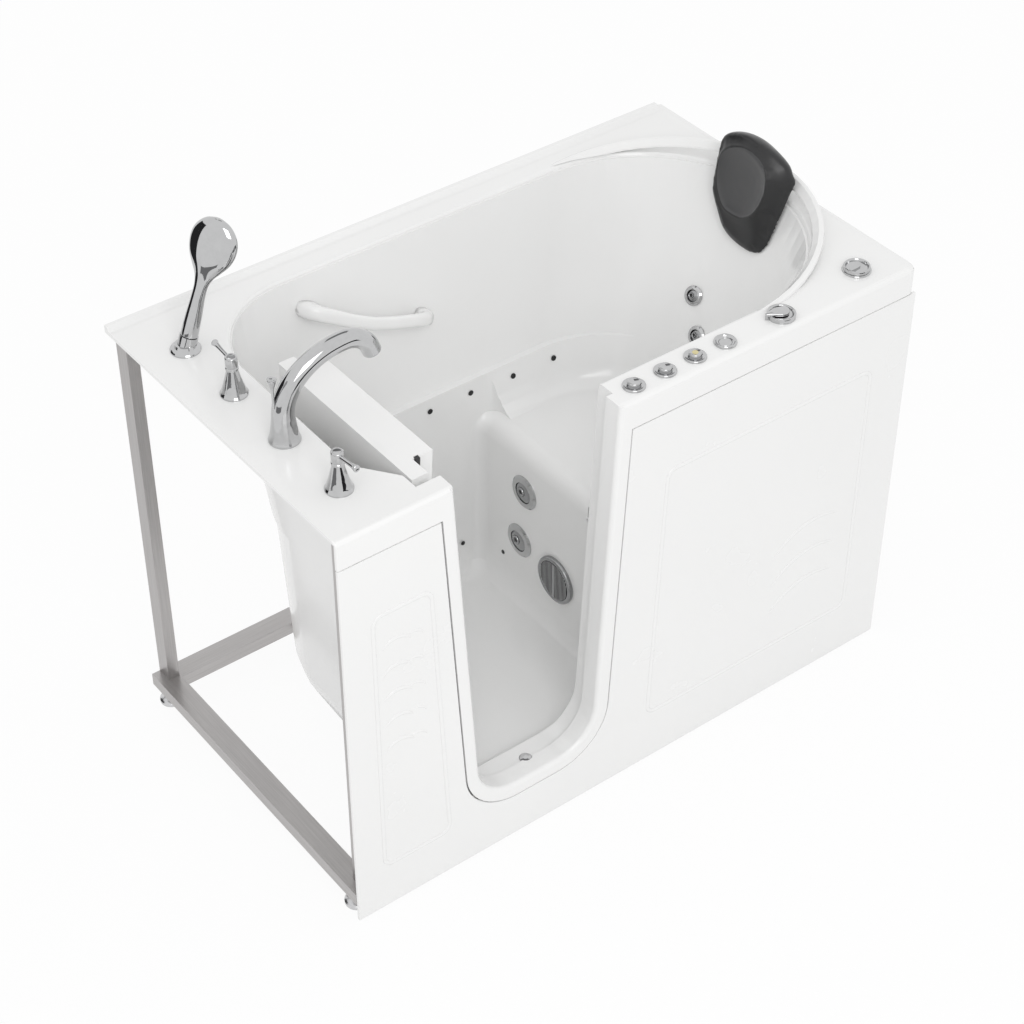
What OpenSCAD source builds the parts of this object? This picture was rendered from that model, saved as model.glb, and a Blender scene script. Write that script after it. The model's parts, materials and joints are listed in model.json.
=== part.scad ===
// Walk-in bathtub with an inward swinging door, whirlpool jets, air injectors and a deck mounted filler.
// Every module works from the floor at the tub's left front corner: x runs to the seat end,
// y runs to the wall side. from_corner() then puts the origin under the middle of the tub.
// The door is drawn open, square to the front skirt. It closes by turning a quarter turn back.

/* [Tub] */
// Length of the tub
tub_length = 1346; // [1200:1:1500]
// Width of the tub, from the front skirt to the wall flange
tub_width = 762; // [700:1:860]
// Height of the deck over the floor
deck_height = 955; // [860:1:1050]
// Thickness of the moulded shell
wall = 7; // [5:0.5:9]
// Depth of the shell's front apron
apron_depth = 60; // [40:1:80]
// Radius of the deck's upper edge
deck_edge_r = 12; // [6:1:16]
// Plan radius of the deck's front corner at the seat end
deck_corner_r = 22; // [10:1:40]
// Height of the tile flange over the deck
tile_lip = 10; // [6:1:20]

/* [Basin] */
// Width of the deck at the tap end
tap_deck = 143; // [120:1:170]
// Width of the front deck, and so the depth of the door jamb
front_deck = 82; // [76:1:100]
// Width of the back deck
back_deck = 65; // [50:1:90]
// Width of the deck at the seat end
end_deck = 21; // [18:1:50]
// How far the rim rises over the deck behind the head
rim_rise = 38; // [10:1:60]
// Width of the raised rim
rim_width = 20; // [14:1:24]
// Height of the seat over the floor
seat_height = 500; // [430:1:560]
// From the left end to the seat's riser
riser_x = 745; // [690:1:800]
// Height of the foot well's floor
well_floor = 100; // [92:1:130]
// Recline of the backrest
recline = 26.3; // [10:0.1:30]
// Lean of the side walls, in mm for each mm of height
side_lean = 0.214; // [0.1:0.002:0.25]
// Height of the ledge that runs round the lower wall
ledge_height = 600; // [560:1:680]
// Depth of that ledge
ledge_depth = 13; // [6:1:20]
// Plan radius of the corner at the tap end
tap_corner_r = 200; // [120:1:220]
// Radius where the foot well's walls meet its floor
cove_r = 46; // [30:1:60]
// Radius where the tap end's wall meets the floor
tap_cove_r = 130; // [80:1:135]
// Lean of the tap end's wall, in mm for each mm of height
tap_lean = 0.055; // [0.02:0.005:0.06]
// Radius of the seat's front edge
seat_edge_r = 40; // [20:1:60]

/* [Doorway] */
// Left side of the opening at the deck
door_left = 244; // [236:1:260]
// Clear width of the opening at the deck
door_width = 365; // [330:1:380]
// Height of the sill over the floor
sill_height = 140; // [136:1:170]
// Width of the opening between the centres of its lower corners
sill_flat = 99; // [70:1:120]
// Radius of the opening's lower corners
door_corner_r = 92; // [60:1:100]
// Width of the shell's band round the opening
door_band = 30; // [24:1:36]
// Depth of the front part of the jamb, as far as the sealing step
jamb_step = 43; // [36:1:50]
// Drop of the sill behind the sealing step
sill_step = 6; // [4:1:10]

/* [Door] */
// Gap between the door's plug and the jamb
plug_gap = 5.5; // [4:0.5:8]
// How far the door's front face lies behind the skirt
door_inset = 3; // [1:0.5:6]
// Thickness of the inner flange
flange_t = 34; // [28:1:36]
// How far the flange laps past the opening on the latch side
flange_lap = 12; // [8:1:14]
// From the hinge line to the door's inner face
hinge_back = 11.5; // [9:0.5:14]
// From the hinge line to the door's hinge edge
hinge_edge = 7; // [6:0.5:8]
// Diameter of the hinge pin
hinge_pin_d = 8; // [6:1:8]
// Height of a hinge knuckle
knuckle_h = 50; // [30:1:70]
// Running clearance of a shaft, each side
shaft_gap = 0.05; // [0.02:0.01:0.1]

/* [Latch] */
// Height of the latch over the floor
latch_z = 640; // [560:1:720]
// Length of the latch handle's grip
latch_grip = 120; // [90:1:140]
// Length of the latch tongue
latch_reach = 78; // [70:1:80]

/* [Front panel] */
// Thickness of the front panel
panel_t = 7; // [4:1:8]
// Gap round the panel
panel_gap = 3; // [2:0.5:5]
// Width of the embossed bead lines
bead_w = 4; // [3:0.5:6]
// Depth of the embossing
bead_depth = 1.5; // [0.5:0.1:3]

/* [Steel frame] */
// Width of a bottom rail
rail_w = 46; // [40:1:50]
// Height of a bottom rail
rail_h = 29; // [25:1:40]
// Height of the rail's underside over the floor
rail_z = 40; // [30:1:50]
// Wall of the steel tube
tube_t = 2.5; // [2:0.5:4]
// Post section along the tub
post_x = 25; // [20:1:30]
// Post section across the tub
post_y = 38; // [30:1:40]
// Diameter of a levelling foot
foot_d = 50; // [40:1:60]
// Diameter of a foot's threaded stem
foot_stem_d = 12; // [10:1:14]

/* [Deck fittings] */
// From the left end to the row of taps
tap_row_x = 87; // [80:1:92]
// Height of the spout over the deck
spout_h = 178; // [150:1:200]
// Reach of the spout
spout_reach = 197; // [180:1:220]
// Diameter of a tap's base
tap_base_d = 52; // [48:1:56]
// Lean of the hand shower's handle
shower_lean = 20; // [10:1:25]
// Diameter of a control's bezel
bezel_d = 44; // [40:1:48]
// Diameter of a push button
button_d = 25; // [20:1:28]

/* [Whirlpool] */
// Diameter of a jet in the riser
riser_jet_d = 78; // [70:1:84]
// Diameter of a jet in the backrest
back_jet_d = 42; // [38:1:50]
// Diameter of the suction cover
suction_d = 110; // [100:1:116]
// Bore of the water pipes' outside
pipe_d = 48; // [40:1:50]
// Diameter of the pump motor
motor_d = 140; // [120:1:150]

/* [Hidden] */
$fn = 48;
hull_fn = 32;
ring_n = 56;
mid_y = front_deck + (tub_width - front_deck - back_deck) / 2;
rim_r = (tub_width - front_deck - back_deck) / 2;
crest_z = deck_height + rim_rise;
face_gap = 0.3;

module from_corner() {
    translate([-tub_length / 2, -tub_width / 2, 0]) children();
}

// ---- Basin form: each level is the outline round a few circles, given as [x, y, r] ----

// Point of the outline that faces the angle a
function facing(circles, a) =
    let (reach = [for (c = circles) c.x * cos(a) + c.y * sin(a) + c.z],
         best = search(max(reach), reach)[0],
         c = circles[best])
    [c.x + c.z * cos(a), c.y + c.z * sin(a)];

function grown(circles, g) = [for (c = circles) [c.x, c.y, c.z + g]];
function ring(circles, z, n = ring_n) =
    [for (k = [0 : n - 1]) let (p = facing(circles, 360 * (k + 0.5) / n)) [p.x, p.y, z]];

// Closed solid through a list of rings with the same count
module loft(rings) {
    n = len(rings[0]);
    last = len(rings) - 1;
    polyhedron(
        points = [for (r = rings) each r],
        faces = [
            [for (k = [0 : n - 1]) k],
            for (i = [0 : last - 1], k = [0 : n - 1]) let (a = i * n + k, b = i * n + (k + 1) % n)
                each [[a, a + n, b + n], [a, b + n, b]],
            [for (k = [n - 1 : -1 : 0]) last * n + k]
        ]);
}

// Half width of the basin and the reach of the backrest at a height
function half_width(z) = rim_r - (deck_height - z) * side_lean;
function backrest_x(z) = tub_length - end_deck - (crest_z - z) * tan(recline);
function tap_wall_x(z) = tap_deck + (deck_height - z) * tap_lean;

// Circles that bound the basin over the seat; ledge draws the lower wall in
function upper_level(z, inset = 0) =
    let (hw = half_width(z), ledge = z < ledge_height ? ledge_depth : 0, r = hw - ledge - inset,
         x0 = tap_wall_x(z) + inset)
    [[x0 + tap_corner_r, mid_y + r - tap_corner_r, tap_corner_r],
     [x0 + 57, front_deck + 100, 60],
     [door_left - 40, front_deck + 10, 10],
     [riser_x - 30, front_deck + 20 + inset, 20],
     [backrest_x(z) - inset - r, mid_y, r]];

// How far the seat's rounded front edge draws the well's wall back at a height
function edge_reach(z) =
    let (up = min(z, seat_height) - seat_height + seat_edge_r)
    up <= 0 ? 0 : seat_edge_r - sqrt(max(0, seat_edge_r * seat_edge_r - up * up));

// Circles that bound the foot well
function well_level(z, inset = 0, tap_inset = 0) =
    let (x0 = tap_wall_x(z) + tap_inset, y0 = front_deck + inset, r = 28,
         y1 = mid_y + half_width(ledge_height) - ledge_depth - inset,
         x1 = riser_x - inset + edge_reach(z))
    [[x0 + tap_corner_r, y1 - tap_corner_r, tap_corner_r],
     [x0 + 57, y0 + 100, 60],
     [door_left - 40 + inset, y0 + 10, 10],
     [riser_x - inset - r, y0 + r, r],
     [x1 - r, y0 + r + 1.5 * edge_reach(z), r],
     [x1 - r, y1 - r, r]];

function cove_inset(r, up) = up >= r ? 0 : r - sqrt(r * r - (r - up) * (r - up));
cove_steps = [0.02, 0.14, 0.46, 1];
well_ups = concat(cove_steps * cove_r, [0.62, 1] * tap_cove_r);
edge_ups = [0, 0.45, 0.75, 0.94, 1] * seat_edge_r;
eps = 0.01;

// The hollow of the basin, or with g = wall the outside of its moulding
module basin(g, top) {
    loft([
        for (s = cove_steps) let (z = seat_height + s * seat_edge_r)
            ring(grown(upper_level(z, cove_inset(seat_edge_r, s * seat_edge_r)), g),
                s == cove_steps[0] ? seat_height - g : z),
        ring(grown(upper_level(ledge_height - eps), g), ledge_height - 1 - g * 0.5),
        ring(grown(upper_level(ledge_height), g), ledge_height + 1 - g * 0.5),
        for (s = [0.33, 0.67, 1]) let (z = ledge_height + (deck_height - 1 - ledge_height) * s)
            ring(grown(upper_level(z), g), z),
        if (top > deck_height) ring(upper_level(top), top)
    ]);
    loft([
        for (up = well_ups) let (z = well_floor + up)
            ring(grown(well_level(z, cove_inset(cove_r, up), cove_inset(tap_cove_r, up)), g),
                up == well_ups[0] ? well_floor - g : z),
        for (up = edge_ups) let (z = seat_height - seat_edge_r + up) ring(grown(well_level(z), g), z),
        ring(grown(well_level(ledge_height), g), ledge_height - g * 0.5)
    ]);
}

// ---- Doorway outlines, drawn in x and z ----

door_right = door_left + door_width;
door_mid = (door_left + door_right) / 2 + 4;
door_turn_z = sill_height + door_corner_r;
door_x0 = door_mid - sill_flat / 2;
door_x1 = door_mid + sill_flat / 2;
lean_left = atan((door_x0 - door_corner_r - door_left) / (deck_height - door_turn_z));
lean_right = atan((door_right - door_x1 - door_corner_r) / (deck_height - door_turn_z));

// Straight side from the lower corner's circle up to a height; side is -1 or 1
function door_side(x, r, lean, side, top) =
    let (dz = r * sin(lean))
    [[x + side * r * cos(lean), door_turn_z - dz],
     [x + side * (r * cos(lean) + (top - door_turn_z + dz) * tan(lean)), top]];

// Points along an arc
function arc(center, r, from, to, n = 12) =
    [for (i = [0 : n]) let (t = from + (to - from) * i / n) center + r * [cos(t), sin(t)]];

// Outline of the opening, grown by g, as high as the deck or higher
module door_outline(g, top) {
    r = door_corner_r + g;
    polygon(concat(
        [door_side(door_x0, r, lean_left, -1, top)[1]],
        arc([door_x0, door_turn_z], r, 180 + lean_left, 270),
        arc([door_x1, door_turn_z], r, 270, 360 - lean_right),
        [door_side(door_x1, r, lean_right, 1, top)[1]]));
}

// Hinge line, the same in the shell and in the door
hinge_x = door_left - 34.5;
hinge_y = front_deck - 2 - hinge_back;
pocket_x = hinge_x - 16.5;
flange_gap = 3;

// Outline of the door's inner flange, or with a clearance c of the step it closes into
module flange_outline(c, top) {
    r = door_corner_r + 3 + c;
    x1 = door_x1 + flange_lap - 3;
    left = c > 0 ? pocket_x - c + flange_gap : hinge_x - hinge_edge;
    low_r = 62;
    z0 = door_turn_z - r;
    polygon(concat(
        [[left, top]],
        arc([left + low_r, z0 + low_r], low_r, 180, 270, 10),
        arc([x1, door_turn_z], r, 270, 360 - lean_right),
        [door_side(x1, r, lean_right, 1, top)[1]]));
}

// Stands a drawing in x and z upright, from y0 back to y1
module upright(y0, y1) {
    translate([0, y1, 0]) rotate([90, 0, 0]) linear_extrude(y1 - y0) children();
}

module box_to(a, b) {
    translate(a) cube(b - a);
}

// ---- Shell ----

// Outline of the deck, drawn in on the front and the seat end by i
function deck_level(i) =
    let (r = deck_corner_r, s = 3)
    [[s, i + s, s], [s, tub_width - s, s], [tub_length - i - s, tub_width - s, s],
     [tub_length - i - r, i + r, r]];

module deck_plate() {
    apron_z = deck_height - apron_depth;
    difference() {
        loft([
            for (p = [[apron_z, 0], [deck_height - deck_edge_r, 0],
                      [deck_height - deck_edge_r * 0.5, deck_edge_r * 0.134],
                      [deck_height - deck_edge_r * 0.134, deck_edge_r * 0.5],
                      [deck_height, deck_edge_r]])
                ring(deck_level(p[1]), p[0], 48)]);
        box_to([-1, wall, apron_z - 1], [tub_length - wall, tub_width + 1, deck_height - wall]);
    }
    // wall flange, with its far corner cut back
    box_to([50, tub_width - wall, deck_height - 30], [tub_length - 50, tub_width, deck_height]);
    box_to([0, tub_width - wall, deck_height - wall], [tub_length - 25, tub_width, deck_height]);
    translate([0, tub_width, deck_height]) rotate([90, 0, 90]) linear_extrude(tub_length - 25)
        polygon([[-25, -1], [-14, 3], [-8, tile_lip], [0, tile_lip], [0, -1]]);
}

// Plane that lies on the deck at the basin's middle and rises to the seat end
rise_x = backrest_x(deck_height) - rim_r;
rise_angle = atan(rim_rise / (tub_length - rise_x));
// Thin slice along the rising plane, drop under it
module rise_slice(g, drop) {
    intersection() {
        loft([ring(grown(upper_level(deck_height - 20), g), deck_height - 20),
            ring(grown(upper_level(crest_z + 10), g), crest_z + 10)]);
        translate([rise_x, 0, deck_height - drop]) rotate([0, -rise_angle, 0])
            translate([0, 0, -0.1]) cube([tub_length, tub_width, 0.1]);
    }
}

module rim_crest() {
    hull() {
        rise_slice(rim_width, 12);
        rise_slice(rim_width, 7);
        rise_slice(rim_width - 2.5, 2.5);
        rise_slice(rim_width - 7, 0);
    }
}

// Rounding of the basin's edge, level round the deck and rising behind the head
module rim_flare() {
    loft([
        for (p = [[-9, 0], [-4.5, 1.2], [-1.2, 4.5], [0, 9], [1, 9]])
            ring(grown(upper_level(deck_height), p[1] - (p[0] < 0 ? 0.2 : 0)), deck_height + p[0])]);
    hull() {
        rise_slice(0.2, 9);
        rise_slice(1.4, 4.5);
        rise_slice(3.5, 1.5);
        rise_slice(7, -0.2);
    }
}

module door_surround() {
    upright(0, wall) door_outline(door_band, deck_height - deck_edge_r);
    upright(1, jamb_step + wall) door_outline(wall, deck_height - 1);
    upright(jamb_step - wall, front_deck) flange_outline(flange_gap + wall, deck_height - 1);
}

// Everything that the doorway takes away
module doorway() {
    above = deck_height + 30;
    upright(-1, jamb_step + 1) door_outline(0, above);
    upright(jamb_step, front_deck + 12) flange_outline(flange_gap, above);
    // rounded front edge of the jamb
    for (a = [0 : 15 : 75]) {
        b = a + 15;
        hull() {
            upright(10 * (1 - cos(a)) - 0.2, 10 * (1 - cos(a))) door_outline(10 * (1 - sin(a)), above);
            upright(10 * (1 - cos(b)), 10 * (1 - cos(b)) + 0.2) door_outline(10 * (1 - sin(b)), above);
        }
    }
}

// ---- Places of the fittings ----

tap_spacing = 167;
hot_y = 118;
spout_y = 287;
cold_y = 452;
shower_y = 618;
control_y = 37;
button_xs = [door_right + 59, door_right + 132, door_right + 203, door_right + 276];
selector_x = door_right + 414;
air_control_xy = [tub_length - 107, 62];
control_hole_d = 30;
riser_jet_yz = [[455, 391], [471, 249]];
suction_yz = [345, 228];
// Height and plan angle of the jets in the backrest
back_jets = [[707, 12.9], [642, 2.9]];
injector_xs = [618, 721, 825, 930];
injector_z = 568;
injector_d = 8;
grab_ends = [[372, 888], [644, 770]];
waste_xy = [430, 345];
overflow_xz = [683, 800];
waste_d = 44;

function wall_y(z) = mid_y + half_width(z);

// Puts a piece on the backrest: its z axis stands square out of the surface
backrest_tilt = atan(tan(recline) * 0.985);
module on_backrest(z, a) {
    r = half_width(z);
    translate([backrest_x(z) - r + r * cos(a), mid_y + r * sin(a), z])
        rotate([0, 0, a]) rotate([0, -(90 - backrest_tilt), 0]) children();
}

module on_riser(yz) {
    translate([riser_x, yz[0], yz[1]]) rotate([0, -90, 0]) children();
}

// Face of the wall under the ledge, over the well or over the seat
back_wall_y = mid_y + half_width(ledge_height) - ledge_depth;
function lower_wall_y(x, z) =
    let (r = half_width(z) - ledge_depth, beyond = max(0, x - backrest_x(z) + r))
    x < riser_x + seat_edge_r ? back_wall_y : mid_y + sqrt(r * r - beyond * beyond);

// Puts an air injector on that wall, its z axis into the basin
module at_injector(x) {
    lean = x < riser_x + seat_edge_r ? 0 : atan(side_lean);
    translate([x, lower_wall_y(x, injector_z), injector_z]) rotate([90 - lean, 0, 0]) children();
}

// Holes for what passes through the shell
hole_n = 16;
module shell_holes() {
    for (y = [hot_y, spout_y, cold_y, shower_y])
        translate([tap_row_x, y, deck_height - 20]) cylinder(d = control_hole_d, h = 30, $fn = hole_n);
    for (x = concat(button_xs, [selector_x]))
        translate([x, control_y, deck_height - 20]) cylinder(d = control_hole_d, h = 30, $fn = hole_n);
    translate([air_control_xy.x, air_control_xy.y, deck_height - 20])
        cylinder(d = control_hole_d, h = 30, $fn = hole_n);
    for (p = riser_jet_yz) on_riser(p) translate([0, 0, -30]) cylinder(d = 60, h = 60, $fn = hole_n);
    on_riser(suction_yz) translate([0, 0, -30]) cylinder(d = 70, h = 60, $fn = hole_n);
    for (p = back_jets) on_backrest(p[0], p[1])
        translate([0, 0, -30]) cylinder(d = 30, h = 60, $fn = hole_n);
    for (x = injector_xs) at_injector(x)
        translate([0, 0, -30]) cylinder(d = injector_d + 0.6, h = 50, $fn = 10);
    translate([waste_xy.x, waste_xy.y, well_floor - 30]) cylinder(d = waste_d + 1, h = 60, $fn = hole_n);
    translate([waste_xy.x, waste_xy.y, well_floor - 3]) cylinder(d = 71.4, h = 60, $fn = 32);
    translate([overflow_xz.x, front_deck + 20, overflow_xz.y]) rotate([90, 0, 0])
        cylinder(d = 41, h = 60, $fn = hole_n);
    translate([door_mid + 6, jamb_step + 6, sill_height - sill_step - 3]) cylinder(d = 27, h = 30, $fn = hole_n);
}

module tub_shell() color([0.95, 0.95, 0.95]) from_corner() {
    difference() {
        union() {
            deck_plate();
            basin(wall, deck_height - 1);
            rim_crest();
            door_surround();
        }
        basin(0, crest_z + 12);
        rim_flare();
        doorway();
        shell_holes();
    }
}

// ---- Small helpers ----

// Round bar from a to b
module rod(a, b, d, fn = 40) {
    v = b - a;
    translate(a) rotate([0, acos(v.z / norm(v)), atan2(v.y, v.x)]) cylinder(d = d, h = norm(v), $fn = fn);
}

// Ring from radius r0 to r1 and from z0 to z1
module tube(r0, r1, z0, z1) {
    translate([0, 0, z0]) difference() {
        cylinder(r = r1, h = z1 - z0);
        translate([0, 0, -1]) cylinder(r = r0, h = z1 - z0 + 2);
    }
}

module disc(d, z0, z1, fn = 48) {
    translate([0, 0, z0]) cylinder(d = d, h = z1 - z0, $fn = fn);
}

module hex_nut(across, d, z0, z1) {
    difference() {
        translate([0, 0, z0]) cylinder(d = across / cos(30), h = z1 - z0, $fn = 6);
        disc(d, z0 - 1, z1 + 1);
    }
}

// Square steel tube between two corners, open along the axis given
module box_tube(a, b, along) {
    t = [for (i = [0 : 2]) i == along ? -1 : tube_t];
    difference() {
        box_to(a, b);
        box_to(a + t, b - t);
    }
}

// Rings of a tube along a flat path; side is the flat's normal, sizes are [across, along the normal]
// and p below 1 makes the section squarer
function soft_box(v, p) = sign(v) * pow(abs(v), p);
function sweep_rings(path, side, sizes, n, p = 1) =
    let (last = len(path) - 1)
    [for (i = [0 : last])
        let (t = path[min(i + 1, last)] - path[max(i - 1, 0)], up = cross(side, t / norm(t)))
        [for (k = [0 : n - 1]) let (a = 360 * (k + 0.5) / n)
            path[i] + up * sizes[i][0] * soft_box(cos(a), p) + side * sizes[i][1] * soft_box(sin(a), p)]];

function smooth(t) = t <= 0 ? 0 : t >= 1 ? 1 : t * t * (3 - 2 * t);

// ---- Front panel ----

module rounded_quad(corners, r) {
    hull() for (p = corners) translate(p) circle(r = r, $fn = hull_fn);
}

module bead_line(corners, r) {
    difference() {
        rounded_quad(corners, r);
        rounded_quad(corners, r - bead_w);
    }
}

// Crescent that opens downwards, w wide between its blunt tips
module crescent(w, rise, thick) {
    tip = w * 0.04;
    r0 = (w * w / 4 + rise * rise) / (2 * rise);
    low = rise - thick;
    r1 = (w * w / 4 + low * low) / (2 * low);
    intersection() {
        translate([0, rise - r0]) difference() {
            circle(r = r0, $fn = 90);
            translate([0, r0 - rise + low - r1]) circle(r = r1, $fn = 90);
        }
        translate([tip - w / 2, 0.01]) square([w - 2 * tip, rise + 1]);
    }
}

module front_panel() color([0.95, 0.95, 0.95]) from_corner() {
    top = deck_height - apron_depth - panel_gap;
    field_top = top - 122;
    left_x = 85;
    right_x = door_right + 119;
    right_end = tub_length - 121;
    r = 25;
    difference() {
        upright(0, panel_t) difference() {
            translate([0, 2]) square([tub_length, top - 2]);
            door_outline(door_band + panel_gap, deck_height + 10);
        }
        upright(-1, bead_depth) {
            bead_line([[left_x, field_top - r], [door_left - 75, field_top - r],
                [door_left - 49, sill_height + 3], [left_x, sill_height + 3]], r);
            bead_line([[right_x + 21, field_top - r], [right_end, field_top - r],
                [right_end + 1, sill_height + 20], [right_x, sill_height + 20]], r);
            for (i = [0 : 4]) translate([left_x + 40, field_top - 90 - 63 * i]) {
                translate([-14, 0]) crescent(62, 17, 6);
                translate([30, 3]) rotate(-28) crescent(36, 6, 3.5);
            }
            for (i = [0 : 2]) translate([right_end - 116, field_top - 362 - 76 * i])
                rotate(14) crescent(178, 32, 7);
        }
    }
}

// ---- Steel frame ----

foot_in = max(rail_w, foot_d + 1) / 2;
foot_xs = [foot_in, tub_length - foot_in];
foot_ys = [panel_t + post_y, tub_width - 27];
cross_xs = [330, 640, 850, 1080];
rail_top = rail_z + rail_h;
steel = [0.62, 0.6, 0.6];

module frame_long_rails() color(steel) from_corner() {
    for (y = [panel_t, tub_width - rail_w])
        box_tube([rail_w, y, rail_z], [tub_length - rail_w, y + rail_w, rail_top], 0);
}

module frame_end_rails() color(steel) from_corner() {
    for (i = [0, 1]) let (x = i * (tub_length - rail_w)) difference() {
        box_tube([x, panel_t, rail_z], [x + rail_w, tub_width, rail_top], 1);
        for (y = foot_ys) translate([foot_xs[i], y, rail_z - 1]) cylinder(d = foot_stem_d + 1, h = 10);
    }
}

module frame_cross_bars() color(steel) from_corner() {
    for (x = cross_xs)
        box_tube([x, panel_t + rail_w, rail_z], [x + rail_w, tub_width - rail_w, rail_top], 1);
}

corner_post_xs = [19, tub_length - wall - post_x];
mid_post_xs = [door_left - 84, door_right + 23];

module frame_posts() color(steel) from_corner() {
    under_deck = deck_height - wall;
    for (x = corner_post_xs, y = [panel_t, tub_width - post_y])
        box_tube([x, y, rail_top], [x + post_x, y + post_y, under_deck], 2);
    for (x = mid_post_xs)
        box_tube([x, panel_t, rail_top], [x + post_x, panel_t + post_y, deck_height - apron_depth - 5], 2);
}

// Pads that carry the foot well on the cross bars
module floor_pads() color([0.15, 0.15, 0.15]) from_corner() {
    for (x = [cross_xs[0], cross_xs[1]], y = [mid_y - 120, mid_y + 60])
        box_to([x, y, rail_top], [x + rail_w, y + 60, well_floor - wall]);
}

module seat_support() color(steel) from_corner() {
    x = cross_xs[2] + 10;
    top = seat_height - wall;
    box_tube([x, mid_y - 170, top - post_x], [x + post_x, mid_y + 170, top], 1);
    for (y = [mid_y - 170, mid_y + 170 - post_x])
        box_tube([x, y, rail_top], [x + post_x, y + post_x, top - post_x], 2);
}

nut_h = 8;

module at_foot(right, back) {
    from_corner() translate([foot_xs[right ? 1 : 0], foot_ys[back ? 1 : 0], 0]) children();
}

module levelling_foot() color([0.3, 0.3, 0.32]) {
    rotate_extrude($fn = 64)
        polygon([[0, 0], [foot_d / 2 - 2, 0], [foot_d / 2, 2], [foot_d / 2, 8], [foot_d / 2 - 3, 11],
            [14, 15], [foot_stem_d / 2 + 2, 18], [foot_stem_d / 2 + 2, 24], [foot_stem_d / 2, 24],
            [foot_stem_d / 2, rail_z + 20], [0, rail_z + 20]]);
}

module foot_front_left() at_foot(false, false) levelling_foot();
module foot_back_left() at_foot(false, true) levelling_foot();
module foot_front_right() at_foot(true, false) levelling_foot();
module foot_back_right() at_foot(true, true) levelling_foot();

module foot_locknuts() color(steel) {
    for (right = [false, true], back = [false, true]) at_foot(right, back)
        hex_nut(19, foot_stem_d + 2 * shaft_gap, rail_z - nut_h, rail_z);
}

// ---- Door, drawn shut and then swung open about its hinge line ----

module door_place() {
    from_corner() translate([hinge_x, hinge_y, 0]) rotate(90) translate([-hinge_x, -hinge_y, 0]) children();
}

door_top = deck_height;
flange_y = hinge_y + hinge_back - flange_t;
flange_face = hinge_y + hinge_back;
knuckle_zs = [sill_height + 90, (sill_height + deck_height) / 2, deck_height - 105];
knuckle_gap = 1;
latch_x = door_right - 49;

module door_panel() color([0.95, 0.95, 0.95]) door_place() {
    difference() {
        union() {
            upright(door_inset, flange_y) door_outline(-plug_gap, door_top);
            upright(flange_y, flange_face) flange_outline(0, door_top);
        }
        // groove for the seal
        upright(flange_y - 14, flange_y - 4) difference() {
            door_outline(-plug_gap + 2, door_top + 1);
            door_outline(-plug_gap - 4, door_top + 2);
        }
        for (z = knuckle_zs) translate([hinge_x, hinge_y, z - knuckle_h / 2 - knuckle_gap])
            cylinder(r = 18.8, h = knuckle_h + 2 * knuckle_gap);
        translate([hinge_x, hinge_y, sill_height - 10])
            cylinder(d = hinge_pin_d + 2 * shaft_gap, h = deck_height - sill_height - 10);
        translate([latch_x, flange_face + 1, latch_z]) rotate([90, 0, 0])
            cylinder(d = 10 + 2 * shaft_gap, h = 32);
        // slope that clears the tap end's cove when the door stands open
        translate([door_left - 60, 0, 0]) rotate([90, 0, 90]) linear_extrude(door_width + 120)
            polygon([[flange_y, sill_height - 10], [flange_y, sill_height - 3],
                [flange_face, sill_height + 44], [flange_face + 1, sill_height + 44],
                [flange_face + 1, sill_height - 10]]);
        // shallow panel in the bathing side
        upright(flange_face - 3, flange_face + 1)
            rounded_quad([[door_left + 55, deck_height - 130], [door_right - 90, deck_height - 130],
                [door_right - 130, sill_height + 120], [door_left + 90, sill_height + 120]], 25);
    }
}

module door_gasket() color([0.25, 0.25, 0.26]) door_place() {
    upright(flange_y - 13.7, flange_y - 4.3) difference() {
        door_outline(-0.8, door_top - 1);
        door_outline(-plug_gap - 3.7, door_top + 1);
    }
}

module hinge_pin() color("silver") from_corner() {
    translate([hinge_x, hinge_y, sill_height + 25]) cylinder(d = hinge_pin_d, h = deck_height - sill_height - 50);
}

module hinge_knuckles() color("silver") from_corner() {
    for (z = knuckle_zs) translate([hinge_x, hinge_y, z - knuckle_h / 2]) difference() {
        union() {
            cylinder(d = hinge_pin_d + 9, h = knuckle_h);
            box_to([-16.5, -7, 0], [-13.5, 7.5, knuckle_h]);
            box_to([-14, -4, 0], [0, 4, knuckle_h]);
        }
        translate([0, 0, -1]) cylinder(d = hinge_pin_d + 0.04, h = knuckle_h + 2);
    }
}

// Latch parts stand on the bathing side: local z points out of the door
module latch_place() {
    translate([latch_x, flange_face, latch_z]) rotate([-90, 0, 0]) children();
}

module latch_housing() color("silver") door_place() latch_place() {
    difference() {
        rotate_extrude() polygon([[0, 0], [26, 0], [26, 2], [24, 4], [0, 4]]);
        disc(10 + 2 * shaft_gap, -1, 5);
    }
}

// Handle: grip towards the hinge and tongue upwards when free
module latch_handle() color("silver") door_place() latch_place() {
    disc(10, -30, 6);
    disc(30, 4.3, 18);
    hull() {
        translate([0, 0, 5.5]) cylinder(r = 12, h = 4.5, $fn = hull_fn);
        translate([0, -latch_reach + 7, 5.5]) cylinder(r = 7, h = 4.5, $fn = hull_fn);
    }
    hull() {
        translate([0, 0, 12]) cylinder(r = 13, h = 8, $fn = hull_fn);
        translate([-latch_grip, 0, 12]) cylinder(r = 9, h = 10, $fn = hull_fn);
    }
}

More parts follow.
